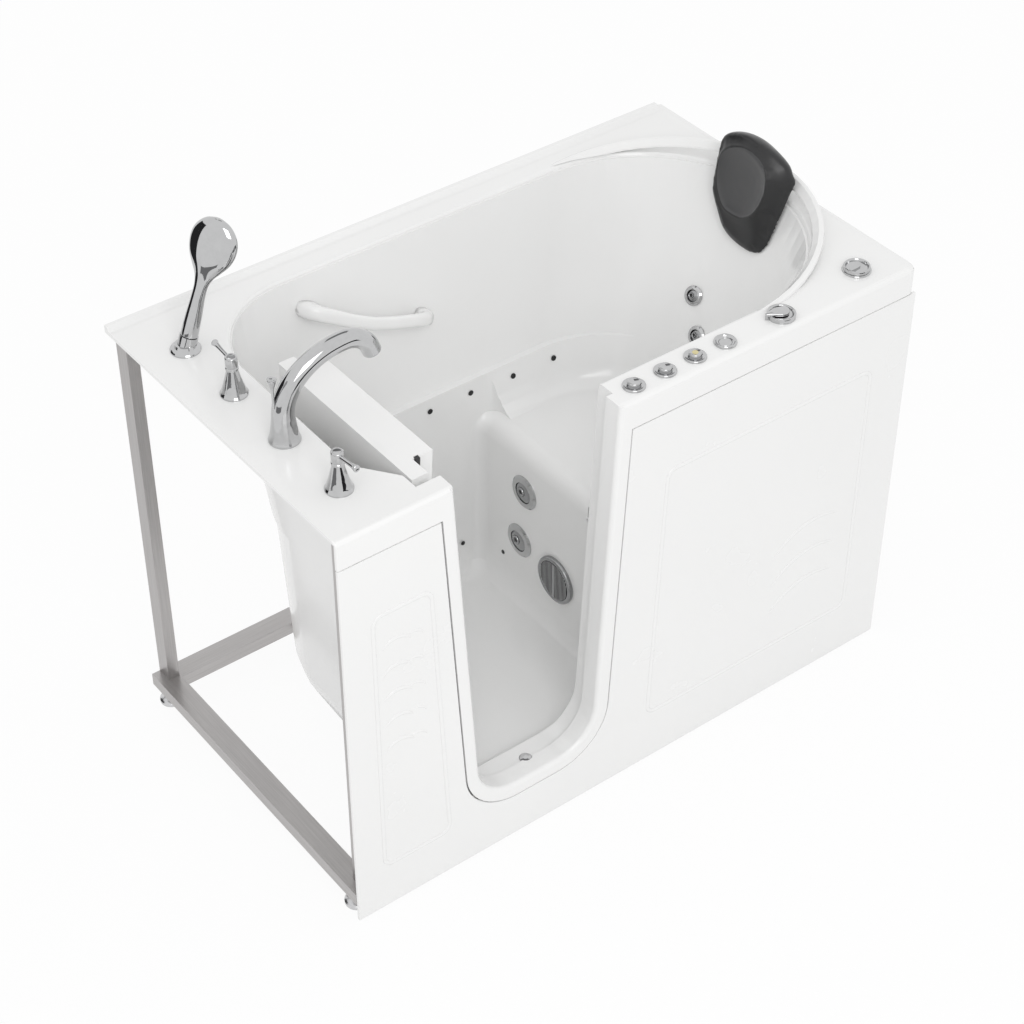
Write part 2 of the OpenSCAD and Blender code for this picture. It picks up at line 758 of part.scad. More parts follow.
module latch_keeper() color("silver") from_corner() {
    y0 = front_deck + face_gap;
    x0 = door_right + 6;
    x1 = x0 + 26;
    reach = latch_x + latch_reach;
    box_to([x0, y0, latch_z - 26], [reach + 7, y0 + 3, latch_z + 26]);
    box_to([x0, y0 + 2, latch_z - 16], [reach + 7, y0 + 15, latch_z - 9]);
    box_to([reach + 2, y0 + 2, latch_z - 16], [reach + 7, y0 + 15, latch_z + 16]);
    difference() {
        box_to([x0 + 4, y0 + 9.5, latch_z - 16], [reach + 7, y0 + 15, latch_z + 16]);
        translate([x0 - 20, y0 + 5, latch_z + 10]) rotate([-30, 0, 0]) cube([200, 4, 30]);
    }
}

module sill_cap() color("silver") from_corner() {
    translate([door_mid + 6, jamb_step + 6, sill_height - sill_step - 3]) rotate_extrude()
        polygon([[0, 0], [13, 0], [13, 3.5], [11.5, 4.6], [5, 5], [0, 5]]);
}

// ---- Taps ----

chrome = [0.8, 0.82, 0.84];

module at_tap(y) {
    from_corner() translate([tap_row_x, y, deck_height]) children();
}

// Threaded shank under the deck with its nut and the supply tail
module shank(tail_d) {
    disc(control_hole_d - 2, -50, 0.5);
    disc(tail_d, -72, -50);
    translate([0, 0, -wall - 9]) cylinder(d = 46, h = 9, $fn = 6);
}

lever_z = 60;
module valve_body() color(chrome) {
    difference() {
        union() {
            rotate_extrude($fn = 72) polygon([[0, 0], [tap_base_d / 2, 0], [tap_base_d / 2, 3],
                [tap_base_d / 2 - 3, 8], [18.5, 22], [14.2, 38], [11.2, 50], [10.5, 53], [12, 54.5],
                [12, 58.5], [10.5, lever_z], [0, lever_z]]);
            shank(21);
        }
        disc(10 + 2 * shaft_gap, 10, lever_z + 1);
    }
}

// Lever along +x from its hub, with a flared tip
module tap_lever(length) color(chrome) {
    disc(10, 12, lever_z + 2);
    rotate_extrude($fn = 64) polygon([[0, lever_z + 0.3], [11.5, lever_z + 0.3], [11.5, 80], [9.5, 84],
        [4, 85.5], [0, 85.5]]);
    translate([0, 0, 74]) rotate([0, 82, 0]) rotate_extrude()
        polygon([[0, 0], [3.6, 0], [3.2, 26], [3.4, length - 12], [4.6, length - 4], [5.2, length - 1.5],
            [4, length], [0, length]]);
}

module hot_valve() at_tap(hot_y) valve_body();
module cold_valve() at_tap(cold_y) valve_body();
module hot_lever() at_tap(hot_y) rotate(-90) tap_lever(56);
module cold_lever() at_tap(cold_y) rotate(90) tap_lever(50);

// Centre line of the spout: straight up, a long arc and a short arc down to the mouth
spout_rise = 52;
spout_r = spout_h - 20 - spout_rise;
spout_tip_r = 58;
tip_x = spout_reach - spout_tip_r;
spout_path = concat(
    [for (s = [0, 0.5, 1]) [0, 0, spout_rise * s]],
    [for (a = [75 : -15 : 0]) [tip_x * (1 - sin(a)), 0, spout_rise + spout_r * cos(a)]],
    [for (a = [18 : 18 : 90]) [tip_x + spout_tip_r * sin(a), 0,
        spout_rise + spout_r - spout_tip_r * (1 - cos(a))]]);
function spout_size(s) = 21.5 - 3.5 * smooth(s * 1.6);

module spout() color(chrome) at_tap(spout_y) {
    last = len(spout_path) - 1;
    tip = spout_path[last];
    difference() {
        union() {
            rotate_extrude($fn = 72) polygon([[0, 0], [29.5, 0], [29.5, 3], [27.5, 9], [25, 20], [22.8, 34],
                [21.3, 48], [0, 48]]);
            loft(sweep_rings(spout_path, [0, 1, 0],
                [for (i = [0 : last]) [spout_size(i / last), spout_size(i / last)]], 24));
        }
        translate(tip - [0, 0, 1]) cylinder(d = 25, h = 9);
        translate([-diverter_back, 0, 20]) cylinder(d = 5 + 2 * shaft_gap, h = 140);
        disc(29, -1, 6);
    }
}

diverter_back = 17;
module diverter_pull() color(chrome) at_tap(spout_y) {
    translate([-diverter_back, 0, 0]) rotate_extrude() polygon([[0, 24], [2.5, 24], [2.5, 128], [3.4, 133],
        [6.5, 138], [8, 141], [8, 145], [6.5, 147], [0, 147.6]]);
}

module spout_shank() color("silver") at_tap(spout_y) {
    disc(28, -50, 5.7);
    disc(21, -72, -50);
    translate([0, 0, -wall - 9]) cylinder(d = 46, h = 9, $fn = 6);
}

// ---- Hand shower ----

module shower_place() {
    at_tap(shower_y) translate([3, 0, 8]) rotate([0, shower_lean, 0]) children();
}
spigot_d = 25;

module shower_holder() color(chrome) {
    difference() {
        union() {
            at_tap(shower_y) rotate_extrude($fn = 72) polygon([[0, 0], [29, 0], [29, 2.5], [27, 5.5],
                [21, 9], [19, 14], [0, 14]]);
            intersection() {
                shower_place() disc(36, -10, 20);
                at_tap(shower_y) disc(60, 1, 40);
            }
            at_tap(shower_y) shank(21);
        }
        shower_place() disc(spigot_d + 2 * face_gap, -4, 30);
        at_tap(shower_y) disc(14, -80, 8);
    }
}

// Handle and head: along the handle, half width, half thickness and set forward of the handle's line
shower_form = [[-3.7, 12.5, 12.5, 0], [20.3, 12.5, 12.5, 0], [20.4, 15, 15, 0], [24, 16.5, 16.5, 0],
    [60, 15.6, 15.2, -0.5], [95, 13.4, 12.6, -1], [122, 13.4, 11, 0], [140, 19, 11.5, 3], [156, 29, 12, 6],
    [176, 40, 12.5, 9], [198, 44.5, 13, 11], [218, 42, 12.5, 11.5], [234, 34, 11, 11], [246, 22, 8, 10],
    [252, 8, 3.5, 9.5]];
head_along = 198;
head_front = 20;

module hand_shower() color(chrome) shower_place() {
    difference() {
        loft([for (s = shower_form) [for (k = [0 : 31])
            [s[3] + s[2] * cos(k * 11.25), s[1] * sin(k * 11.25), s[0]]]]);
        translate([head_front, 0, head_along]) rotate([0, 90, 0]) cylinder(d = 66, h = 20);
    }
}

module spray_plate() color([0.35, 0.36, 0.38]) shower_place() {
    translate([head_front + 0.3, 0, head_along]) rotate([0, 90, 0]) {
        cylinder(d = 65, h = 3);
        for (r = [9, 18, 27], k = [0 : r / 1.5 - 1]) rotate(k * 540 / r) translate([r, 0, 0])
            cylinder(d = 3, h = 4.4, $fn = 16);
    }
}

// ---- Controls on the front deck ----

module at_control(x) {
    from_corner() translate([x, control_y, deck_height]) children();
}

module bezel(bore) {
    difference() {
        union() {
            rotate_extrude($fn = 72) polygon([[0, 0], [bezel_d / 2, 0], [bezel_d / 2, 1.5],
                [bezel_d / 2 - 2.5, 4], [bore / 2 + 2, 4.4], [0, 4.4]]);
            disc(28, -34, 0.5);
            translate([0, 0, -wall - 6]) cylinder(d = 40, h = 6, $fn = 6);
        }
        disc(bore, -16, 6);
    }
}

module button_bezels() color(chrome) for (x = button_xs) at_control(x) bezel(button_d + 2 * face_gap);

module push_button() color(chrome)
    rotate_extrude($fn = 64) polygon([[0, -11], [button_d / 2, -11], [button_d / 2, 4.5],
        [button_d / 2 - 1.2, 6.3], [button_d / 2 - 4, 7.6], [4, 8.4], [0, 8.5]]);

module jet_button() at_control(button_xs[0]) push_button();
module air_button() at_control(button_xs[1]) push_button();
module light_button() at_control(button_xs[2]) push_button();
module heat_button() color(chrome) at_control(button_xs[3])
    rotate_extrude($fn = 64) polygon([[0, -11], [button_d / 2, -11], [button_d / 2, 3.2],
        [button_d / 2 - 1.5, 4.2], [7, 2.6], [0, 2]]);

module dial_base(d) {
    difference() {
        union() {
            rotate_extrude($fn = 72) polygon([[0, 0], [d / 2, 0], [d / 2, 1.8], [d / 2 - 2, 3.6], [0, 3.6]]);
            disc(28, -34, 0.5);
            translate([0, 0, -wall - 6]) cylinder(d = 40, h = 6, $fn = 6);
        }
        disc(10 + 2 * shaft_gap, -20, 5);
    }
}

module jet_selector_base() color(chrome) at_control(selector_x) dial_base(55);

// Teardrop knob, pointing to the tap end
module jet_selector() color(chrome) at_control(selector_x) {
    disc(10, -19, 4);
    translate([0, 0, 3.9]) linear_extrude(6) hull() {
        circle(r = 15, $fn = hull_fn);
        translate([-24, -5]) circle(r = 2.5, $fn = hull_fn);
    }
    rotate_extrude($fn = 64) polygon([[0, 3.9], [22, 3.9], [22, 5.4], [19, 6.6], [0, 6.6]]);
}

module air_control_base() color(chrome) from_corner()
    translate([air_control_xy.x, air_control_xy.y, deck_height]) dial_base(57);

// Cup shaped dial with a finger ridge across it
module air_control() color(chrome) from_corner() translate([air_control_xy.x, air_control_xy.y, deck_height]) {
    disc(10, -19, 4);
    rotate_extrude($fn = 64) polygon([[0, 3.9], [24, 3.9], [25, 6], [23.5, 9.6], [21, 10], [18, 6.4],
        [0, 5.6]]);
    translate([-18.5, -2.5, 4.5]) cube([37, 5, 4]);
}

// ---- Jets: local z points into the basin, 0 on the wall's face ----

// Flange that stands lift over the wall, with a nut behind the wall
module jet_body(d, barrel_d, deep, lift) color(chrome) {
    face_d = d * 0.62;
    translate([0, 0, lift]) difference() {
        union() {
            rotate_extrude($fn = 72) polygon([[0, 0], [d / 2, 0], [d / 2, 2], [d / 2 - 4, 5.2],
                [face_d / 2 + 2, 5.6], [0, 5.6]]);
            disc(barrel_d, -deep, 0.5);
        }
        disc(face_d + 2 * face_gap, -9, 7);
        disc(10 + 2 * shaft_gap, -22, -8);
    }
    difference() {
        translate([0, 0, -wall - 10]) cylinder(d = barrel_d + 14, h = 9.4, $fn = 8);
        disc(barrel_d - 1, -wall - 11, -wall);
    }
}

// Nozzle face with its eye off centre
module jet_face(d, lift) color([0.45, 0.46, 0.48]) translate([0, 0, lift]) {
    face_d = d * 0.62;
    difference() {
        union() {
            disc(10, -21, -7);
            rotate_extrude($fn = 64) polygon([[0, -8.5], [face_d / 2, -8.5], [face_d / 2, 3],
                [face_d / 2 - 2, 4.6], [face_d / 4, 5.6], [0, 5.8]]);
        }
        translate([face_d / 4.6, 0, -4]) cylinder(d = face_d / 3, h = 20, $fn = 40);
    }
}

back_jet_lift = 1.8;
module riser_jet_bodies() from_corner() for (p = riser_jet_yz) on_riser(p) jet_body(riser_jet_d, 58, 45, face_gap);
module riser_jet_upper() from_corner() on_riser(riser_jet_yz[0]) jet_face(riser_jet_d, face_gap);
module riser_jet_lower() from_corner() on_riser(riser_jet_yz[1]) jet_face(riser_jet_d, face_gap);
module back_jet_bodies() from_corner() for (j = back_jets) on_backrest(j[0], j[1])
    jet_body(back_jet_d, 28, 45, back_jet_lift);
module back_jet_upper() from_corner() on_backrest(back_jets[0][0], back_jets[0][1])
    jet_face(back_jet_d, back_jet_lift);
module back_jet_lower() from_corner() on_backrest(back_jets[1][0], back_jets[1][1])
    jet_face(back_jet_d, back_jet_lift);

suction_back = 45;
module suction_body() color([0.9, 0.9, 0.9]) from_corner() on_riser(suction_yz) {
    disc(pipe_d, -suction_back, -wall - 2);
    disc(68, -wall - 3, 4);
    disc(84, -wall - 9, -wall - 0.3);
}

// Round cover with rows of slots and a bar across it
module suction_cover() color(chrome) from_corner() on_riser(suction_yz) {
    slot_r = 33;
    difference() {
        rotate_extrude($fn = 72) polygon([[0, 5], [34.5, 5], [34.5, face_gap], [suction_d / 2, face_gap],
            [suction_d / 2, 4], [suction_d / 2 - 8, 9], [30, 11.5], [0, 12]]);
        for (i = [-4 : 4]) if (i != 0) {
            w = sqrt(slot_r * slot_r - i * i * 49);
            translate([-w, i * 7 - 1.75, 2]) cube([2 * w, 3.5, 14]);
        }
    }
    translate([-45, -4.5, 6]) cube([90, 9, 7.5]);
    disc(26, 6, 14.5);
}

air_main_y = back_wall_y + 36;
module injector(reach) {
    disc(injector_d, -reach, 2);
    disc(injector_d + 4, 0.9, 2.1);
    disc(injector_d + 8, -wall - 6, -wall - 1.2);
}
module air_injectors() color([0.15, 0.15, 0.16]) from_corner() {
    for (x = injector_xs) at_injector(x) injector(air_main_y - 10.3 - lower_wall_y(x, injector_z));
}

// ---- Grab bar ----

grab_from = [grab_ends[0][0], wall_y(grab_ends[0][1]), grab_ends[0][1]];
grab_to = [grab_ends[1][0], wall_y(grab_ends[1][1]), grab_ends[1][1]];
grab_along = (grab_to - grab_from) / norm(grab_to - grab_from);
grab_flat = cross([0, -cos(atan(side_lean)), sin(atan(side_lean))], grab_along);
grab_out = cross(grab_along, grab_flat / norm(grab_flat));
grab_side = grab_flat / norm(grab_flat);
grab_lift = 0.8;
// Along the bar as a share of its length, out from the wall, half depth and half height
grab_form = [[0.06, 0, 26, 17], [0.06, 12, 24, 16.5], [0.06, 25, 19, 16], [0.1, 34, 13, 15.5],
    [0.18, 39, 9.5, 15], [0.34, 42, 8, 14], [0.5, 43, 7.5, 13.5], [0.66, 42, 7.5, 13.5],
    [0.82, 39, 8.5, 13.5], [0.92, 34, 11, 14], [0.965, 25, 14, 14.5], [0.975, 12, 15, 15],
    [0.975, 0, 16, 15.5]];

module grab_bar() color([0.95, 0.95, 0.95]) from_corner() {
    span = norm(grab_to - grab_from);
    path = [for (f = grab_form) grab_from + grab_along * span * f[0] + grab_out * (f[1] + grab_lift)];
    loft(sweep_rings(path, -grab_side, [for (f = grab_form) [f[2], f[3]]], 24, 0.7));
}

// ---- Headrest: x runs up the backrest, y across it and z out of it ----

rest_z = 925;
rest_shift = 12;
rest_w = 106;
rest_h = 106;
rest_crown = 62;
rest_foot = 28;

// Outline of the cushion, wide at the top and drawn in towards its foot
function rest_outline(a) =
    let (f = 1 / pow(pow(abs(cos(a)), 2.4) + pow(abs(sin(a)), 2.4), 1 / 2.4), up = f * cos(a))
    [rest_h * up + 8, rest_w * f * sin(a) * (0.72 + 0.34 * smooth((up + 1) / 1.5))];
function rest_dish(a, k) = [18 + 60 * k * cos(a), 4 + 70 * k * sin(a)];
// Hollow of the backrest behind the cushion, and the cushion's thickness at a height
function rest_back(v, u) =
    let (r = half_width(rest_z) + v * side_lean * cos(backrest_tilt), d = u + rest_shift)
    (r - sqrt(r * r - d * d)) * cos(backrest_tilt) + 1;
function rest_depth(v) = rest_foot + (rest_crown - rest_foot) * smooth((v + rest_h) / (1.8 * rest_h));
function rest_point(p, t) = [p.x, p.y, rest_back(p.x, p.y) + rest_depth(p.x) * t];
// Share of the outline and of the depth, from the back to the front
rest_rings = [[0.3, 0], [0.72, 0], [0.9, 0.02], [0.97, 0.1], [1, 0.26], [1.01, 0.48], [0.99, 0.68],
    [0.95, 0.84], [0.88, 0.95], [0.8, 1]];
rest_dish_rings = [[1, 0.99], [0.95, 0.93], [0.8, 0.86], [0.5, 0.8], [0.15, 0.77]];

module headrest() color([0.22, 0.22, 0.23]) from_corner() on_backrest(rest_z, 0)
    translate([0, rest_shift, 0]) loft(concat(
        [for (s = rest_rings) [for (a = [0 : 10 : 350]) rest_point(rest_outline(a) * s[0], s[1])]],
        [for (s = rest_dish_rings) [for (a = [0 : 10 : 350]) rest_point(rest_dish(a, s[0]), s[1])]]));

// ---- Waste and overflow ----

stopper_lift = 10;
module at_waste() {
    from_corner() translate([waste_xy.x, waste_xy.y, well_floor]) children();
}

module waste_body() color(chrome) at_waste() {
    difference() {
        union() {
            rotate_extrude($fn = 72) polygon([[0, -3], [35, -3], [35, -1.6], [31, -0.4], [23, -1.5], [0, -1.5]]);
            disc(waste_d, -58, -2);
            hex_nut(60, waste_d, -wall - 12, -wall);
        }
        tube(6, 18, -60, 1);
        disc(38, -8, 1);
        disc(8 + 2 * shaft_gap, -30, 0);
        disc(12, -60, -30);
    }
    for (a = [0 : 120 : 240]) rotate(a) translate([5.5, -2, -30]) cube([13, 4, 8]);
}

module waste_stopper() color(chrome) at_waste() translate([0, 0, stopper_lift]) {
    disc(8, -38, 0);
    rotate_extrude($fn = 64) polygon([[0, -4], [17, -4], [18.5, -2], [18.5, 0], [16, 2], [6, 3.2], [0, 3.4]]);
}

module at_overflow() {
    from_corner() translate([overflow_xz.x, front_deck, overflow_xz.y]) rotate([-90, 0, 0]) children();
}
overflow_pipe_d = 32;
overflow_pipe_y = 42;

module overflow_body() color(chrome) {
    at_overflow() difference() {
        union() {
            rotate_extrude($fn = 72) polygon([[0, face_gap], [30, face_gap], [30, 3], [27, 6], [0, 6.6]]);
            disc(40, -58, 1);
            disc(48, -wall - 9, -wall - face_gap);
        }
        disc(10 + 2 * shaft_gap, -21, 8);
    }
    from_corner() translate([overflow_xz.x, overflow_pipe_y, 0])
        translate([0, 0, rail_top + 6]) cylinder(d = overflow_pipe_d, h = overflow_xz.y - rail_top - 6);
}

module overflow_knob() color(chrome) at_overflow() {
    disc(10, -20, 8);
    rotate_extrude($fn = 64) polygon([[0, 7], [27, 7], [28, 10], [26, 20], [20, 23], [0, 24]]);
    translate([-3, -27, 15]) cube([6, 54, 11]);
}

// ---- Whirlpool equipment under the seat ----

pump_yz = suction_yz;
pump_x = riser_x + suction_back;
motor_x = pump_x + 92;
motor_len = 230;
outlet_y = pump_yz[0] + 61;
outlet_top = 312;
pipe_z = 440;

module along_x(x, yz) {
    translate([x, yz[0], yz[1]]) rotate([0, 90, 0]) children();
}

module water_pump() color([0.18, 0.19, 0.2]) from_corner() {
    along_x(pump_x, pump_yz) {
        disc(62, 0, 26);
        disc(160, 22, 80);
        disc(120, 79, 92);
    }
    translate([pump_x + 51, outlet_y, pump_yz[1]]) cylinder(d = pipe_d + 8, h = outlet_top - pump_yz[1]);
    box_to([cross_xs[2] - 40, pump_yz[0] - 45, rail_top], [cross_xs[2] + rail_w, pump_yz[0] + 45, rail_top + 6]);
    box_to([pump_x + 36, pump_yz[0] - 30, rail_top + 5], [pump_x + 66, pump_yz[0] + 30, pump_yz[1] - 60]);
}

module pump_motor() color([0.35, 0.36, 0.38]) from_corner() {
    along_x(motor_x, pump_yz) {
        disc(motor_d, 0, motor_len - 30);
        for (a = [0 : 20 : 340]) rotate(a) translate([motor_d / 2 - 1, -1.5, 20]) cube([6, 3, motor_len - 70]);
        disc(motor_d - 14, motor_len - 31, motor_len);
    }
    box_to([cross_xs[3], pump_yz[0] - 45, rail_top], [cross_xs[3] + 30, pump_yz[0] + 45, rail_top + 6]);
    box_to([motor_x + 100, pump_yz[0] - 40, rail_top + 0.5], [cross_xs[3] + 1, pump_yz[0] + 40, rail_top + 6]);
    box_to([motor_x + 110, pump_yz[0] - 30, rail_top + 5], [motor_x + 160, pump_yz[0] + 30, pump_yz[1] - 60]);
}

// Point behind a backrest jet, out from the wall's face
function behind_jet(j, out) =
    let (z = j[0], a = j[1], r = half_width(z), n = [cos(a) * cos(backrest_tilt),
         sin(a) * cos(backrest_tilt), -sin(backrest_tilt)])
    [backrest_x(z) - r + r * cos(a), mid_y + r * sin(a), z] + n * out;

// Straight pipe along one axis, from a point on by a length
module pipe(from, turn, length, d) {
    translate(from) rotate(turn) cylinder(d = d, h = length);
}

module water_pipes() color([0.93, 0.93, 0.92]) from_corner() {
    x0 = pump_x + 51;
    manifold_y = (riser_jet_yz[0][0] + riser_jet_yz[1][0]) / 2;
    upper = behind_jet(back_jets[0], 95);
    lower = behind_jet(back_jets[1], 95);
    pipe([x0, outlet_y, outlet_top], [0, 0, 0], pipe_z + 24 - outlet_top, 42);
    pipe([x0, outlet_y, pipe_z], [-90, 0, 0], manifold_y - outlet_y, 34);
    pipe([x0, manifold_y, riser_jet_yz[1][1] - 22], [0, 0, 0], pipe_z + 20 - riser_jet_yz[1][1] + 22, 50);
    for (p = riser_jet_yz) pipe([riser_x + 45.3, p[0], p[1]], [0, 90, 0], x0 - riser_x - 45.3, 30);
    pipe([x0, outlet_y, pipe_z], [0, 90, 0], upper.x + 20 - x0, 32);
    pipe([upper.x, outlet_y, pipe_z], [-90, 0, 0], upper.y + 18 - outlet_y, 28);
    pipe([upper.x, upper.y, pipe_z], [0, 0, 0], upper.z + 20 - pipe_z, 30);
    pipe([lower.x, outlet_y, pipe_z], [0, 0, 0], lower.z + 20 - pipe_z, 30);
    rod(behind_jet(back_jets[0], 44.5), upper, 24);
    rod(behind_jet(back_jets[1], 44.5), lower, 24);
}

blower_xy = [cross_xs[3] + 23, 600];
module air_blower() color([0.25, 0.25, 0.27]) from_corner() {
    translate([blower_xy.x, blower_xy.y, rail_top]) {
        box_to([-60, -60, 0], [60, 60, 5]);
        disc(130, 4, 70);
        disc(110, 69, 110);
        disc(50, 109, 130);
        translate([0, 0, 110]) cylinder(d = 30, h = injector_z - rail_top - 110);
    }
    rod([blower_xy.x, blower_xy.y, injector_z], [blower_xy.x, air_main_y, injector_z], 30);
    translate([blower_xy.x, blower_xy.y, injector_z]) sphere(d = 30);
    translate([blower_xy.x, air_main_y, injector_z]) sphere(d = 30);
    rod([injector_xs[0] - 20, air_main_y, injector_z], [blower_xy.x, air_main_y, injector_z], 20);
}

module control_box() color([0.2, 0.2, 0.21]) from_corner() {
    box_to([cross_xs[3] - 40, mid_y - 250, rail_top], [cross_xs[3] + 90, mid_y - 100, rail_top + 80]);
}

// ---- Assembly ----

tub_shell();
front_panel();
frame_long_rails();
frame_end_rails();
frame_cross_bars();
frame_posts();
floor_pads();
seat_support();
foot_locknuts();
foot_front_left();
foot_back_left();
foot_front_right();
foot_back_right();
door_panel();
door_gasket();
hinge_pin();
hinge_knuckles();
latch_housing();
latch_handle();
latch_keeper();
sill_cap();
spout();
spout_shank();
diverter_pull();
hot_valve();
cold_valve();
hot_lever();
cold_lever();
shower_holder();
hand_shower();
spray_plate();
button_bezels();
jet_button();
air_button();
light_button();
heat_button();
jet_selector_base();
jet_selector();
air_control_base();
air_control();
riser_jet_bodies();
riser_jet_upper();
riser_jet_lower();
back_jet_bodies();
back_jet_upper();
back_jet_lower();
suction_body();
suction_cover();
air_injectors();
grab_bar();
headrest();
waste_body();
waste_stopper();
overflow_body();
overflow_knob();
water_pump();
pump_motor();
water_pipes();
air_blower();
control_box();
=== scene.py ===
# Walk-in bathtub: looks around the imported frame. Sizes are metres, +Z up, the tap end at -X.
import json
import math

import bmesh
import bpy
from mathutils import Matrix, Vector
from mathutils.kdtree import KDTree


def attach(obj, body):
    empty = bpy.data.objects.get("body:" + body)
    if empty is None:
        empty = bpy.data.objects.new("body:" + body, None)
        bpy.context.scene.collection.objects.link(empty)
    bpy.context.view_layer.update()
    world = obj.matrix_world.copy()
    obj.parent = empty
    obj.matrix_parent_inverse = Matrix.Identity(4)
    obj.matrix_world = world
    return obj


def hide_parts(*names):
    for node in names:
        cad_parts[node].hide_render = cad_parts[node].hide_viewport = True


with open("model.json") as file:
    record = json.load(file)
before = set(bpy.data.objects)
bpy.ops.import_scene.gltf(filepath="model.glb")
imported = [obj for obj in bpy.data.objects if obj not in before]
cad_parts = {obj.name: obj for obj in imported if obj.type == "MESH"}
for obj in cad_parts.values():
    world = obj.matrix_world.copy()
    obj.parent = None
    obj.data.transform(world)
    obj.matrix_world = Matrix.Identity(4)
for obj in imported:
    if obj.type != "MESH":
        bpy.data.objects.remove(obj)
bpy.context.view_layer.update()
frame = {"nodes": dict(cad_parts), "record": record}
nodes = frame["nodes"]
bodyOf = {n: b for b, members in frame["record"]["behaviour"]["bodies"].items() for n in members}
scene = bpy.context.scene
mm = 0.001


def atCorner(x, y, z):  # millimetres from the floor corner at the tap end's front
    return Vector(((x - 673) * mm, (y - 381) * mm, z * mm))


print("camera and studio")
cameraSetup = {"place": (-2.2125, -2.8861, 3.5083), "forward": (0.4617, 0.6071, -0.6468), "lens": 82.74}
cameraData = bpy.data.cameras.new("camera")
cameraData.lens = cameraSetup["lens"]
cameraData.sensor_width = 36
camera = bpy.data.objects.new("camera", cameraData)
scene.view_settings.view_transform = "Standard"

studio = {
    "domeStrength": 0.86,
    "keyPower": 46, "keyPlace": (-1.6, -3.2, 3.6), "keySize": 2.2, "keyAim": (0, 0, 0.6),
    "floorColor": (0.88, 0.88, 0.88), "floorGlow": 0.93, "floorSize": 60,
    "tones": {"dark": (0.03, 0.03, 0.032), "grey": (0.24, 0.24, 0.245)},
    "cards": {  # place, facing, width, height, tone
        "cardBehind": ((-2.6, 2.3, 1.1), (0.75, -0.66, 0.0), 2.4, 2.6, "dark"),
        "cardFront": ((0.6, -3.4, 0.35), (-0.1, 1.0, 0.1), 2.6, 0.9, "dark"),
        "cardLeft": ((-3.2, -0.6, 0.25), (1.0, 0.1, 0.1), 2.4, 0.7, "grey"),
        "cardAbove": ((0.8, 1.6, 3.6), (-0.2, -0.45, -1.0), 1.6, 1.2, "grey"),
    },
}


def addNode(tree, kind, values=(), **settings):  # values are pairs of a socket and what it holds
    node = tree.nodes.new(kind)
    for setting, value in settings.items():
        setattr(node, setting, value)
    for socket, value in values:
        node.inputs[socket].default_value = value
    return node


def wire(tree, *pairs):  # each pair is an output and the input it feeds
    for fromSocket, toSocket in pairs:
        tree.links.new(fromSocket, toSocket)


def emptyTree(owner):
    owner.use_nodes = True
    owner.node_tree.nodes.clear()
    return owner.node_tree


def seenRays(tree, *rays):  # 1 where the camera looks, straight or by way of these rays
    path = addNode(tree, "ShaderNodeLightPath")
    seen = path.outputs["Is Camera Ray"]
    for ray in rays:
        either = addNode(tree, "ShaderNodeMath", operation="ADD", use_clamp=True)
        wire(tree, (seen, either.inputs[0]), (path.outputs[ray], either.inputs[1]))
        seen = either.outputs[0]
    return seen


def brightWorld():
    scene.world = bpy.data.worlds.new("studio")
    tree = emptyTree(scene.world)
    out = addNode(tree, "ShaderNodeOutputWorld")
    mix = addNode(tree, "ShaderNodeMixShader")
    dome = addNode(tree, "ShaderNodeBackground", [
        ("Strength", studio["domeStrength"]), ("Color", (1, 1, 1, 1))])
    white = addNode(tree, "ShaderNodeBackground", [("Color", (1, 1, 1, 1))])
    wire(tree, (seenRays(tree, "Is Glossy Ray", "Is Transmission Ray"), mix.inputs[0]),
         (dome.outputs[0], mix.inputs[1]), (white.outputs[0], mix.inputs[2]), (mix.outputs[0], out.inputs[0]))


def floorMaterial():
    material = bpy.data.materials.new("paleFloor")
    tree = emptyTree(material)
    out = addNode(tree, "ShaderNodeOutputMaterial")
    mix = addNode(tree, "ShaderNodeMixShader")
    matte = addNode(tree, "ShaderNodeBsdfDiffuse", [("Color", (*studio["floorColor"], 1))])
    glow = addNode(tree, "ShaderNodeEmission", [("Strength", 1)])
    share = addNode(tree, "ShaderNodeMath", [(1, studio["floorGlow"])], operation="MULTIPLY")
    wire(tree, (seenRays(tree, "Is Glossy Ray"), share.inputs[0]), (share.outputs[0], mix.inputs[0]),
         (matte.outputs[0], mix.inputs[1]), (glow.outputs[0], mix.inputs[2]), (mix.outputs[0], out.inputs[0]))
    return material


def cardMaterial(name, color):
    material = bpy.data.materials.new(name)
    tree = emptyTree(material)
    out = addNode(tree, "ShaderNodeOutputMaterial")
    glow = addNode(tree, "ShaderNodeEmission", [("Color", (*color, 1))])
    wire(tree, (glow.outputs[0], out.inputs[0]))
    return material


def aimed(thing, place, direction, axis):  # axis is the one that looks along the direction
    thing.location = place
    thing.rotation_mode = "QUATERNION"
    thing.rotation_quaternion = Vector(direction).to_track_quat(axis, "Y")
    scene.collection.objects.link(thing)


def stagePlane(name, center, facing, width, height, material):
    mesh = bpy.data.meshes.new(name)
    w, h = width / 2, height / 2
    mesh.from_pydata([(-w, -h, 0), (w, -h, 0), (w, h, 0), (-w, h, 0)], [], [(0, 1, 2, 3)])
    mesh.materials.append(material)
    plane = bpy.data.objects.new(name, mesh)
    aimed(plane, center, facing, "Z")
    return plane


def reflectionCards():  # seen in gloss and metal only
    tones = {tone: cardMaterial(tone + "Card", color) for tone, color in studio["tones"].items()}
    for name, (place, facing, width, height, tone) in studio["cards"].items():
        card = stagePlane(name, place, facing, width, height, tones[tone])
        for ray in ("camera", "diffuse", "shadow", "transmission", "volume_scatter"):
            setattr(card, "visible_" + ray, False)


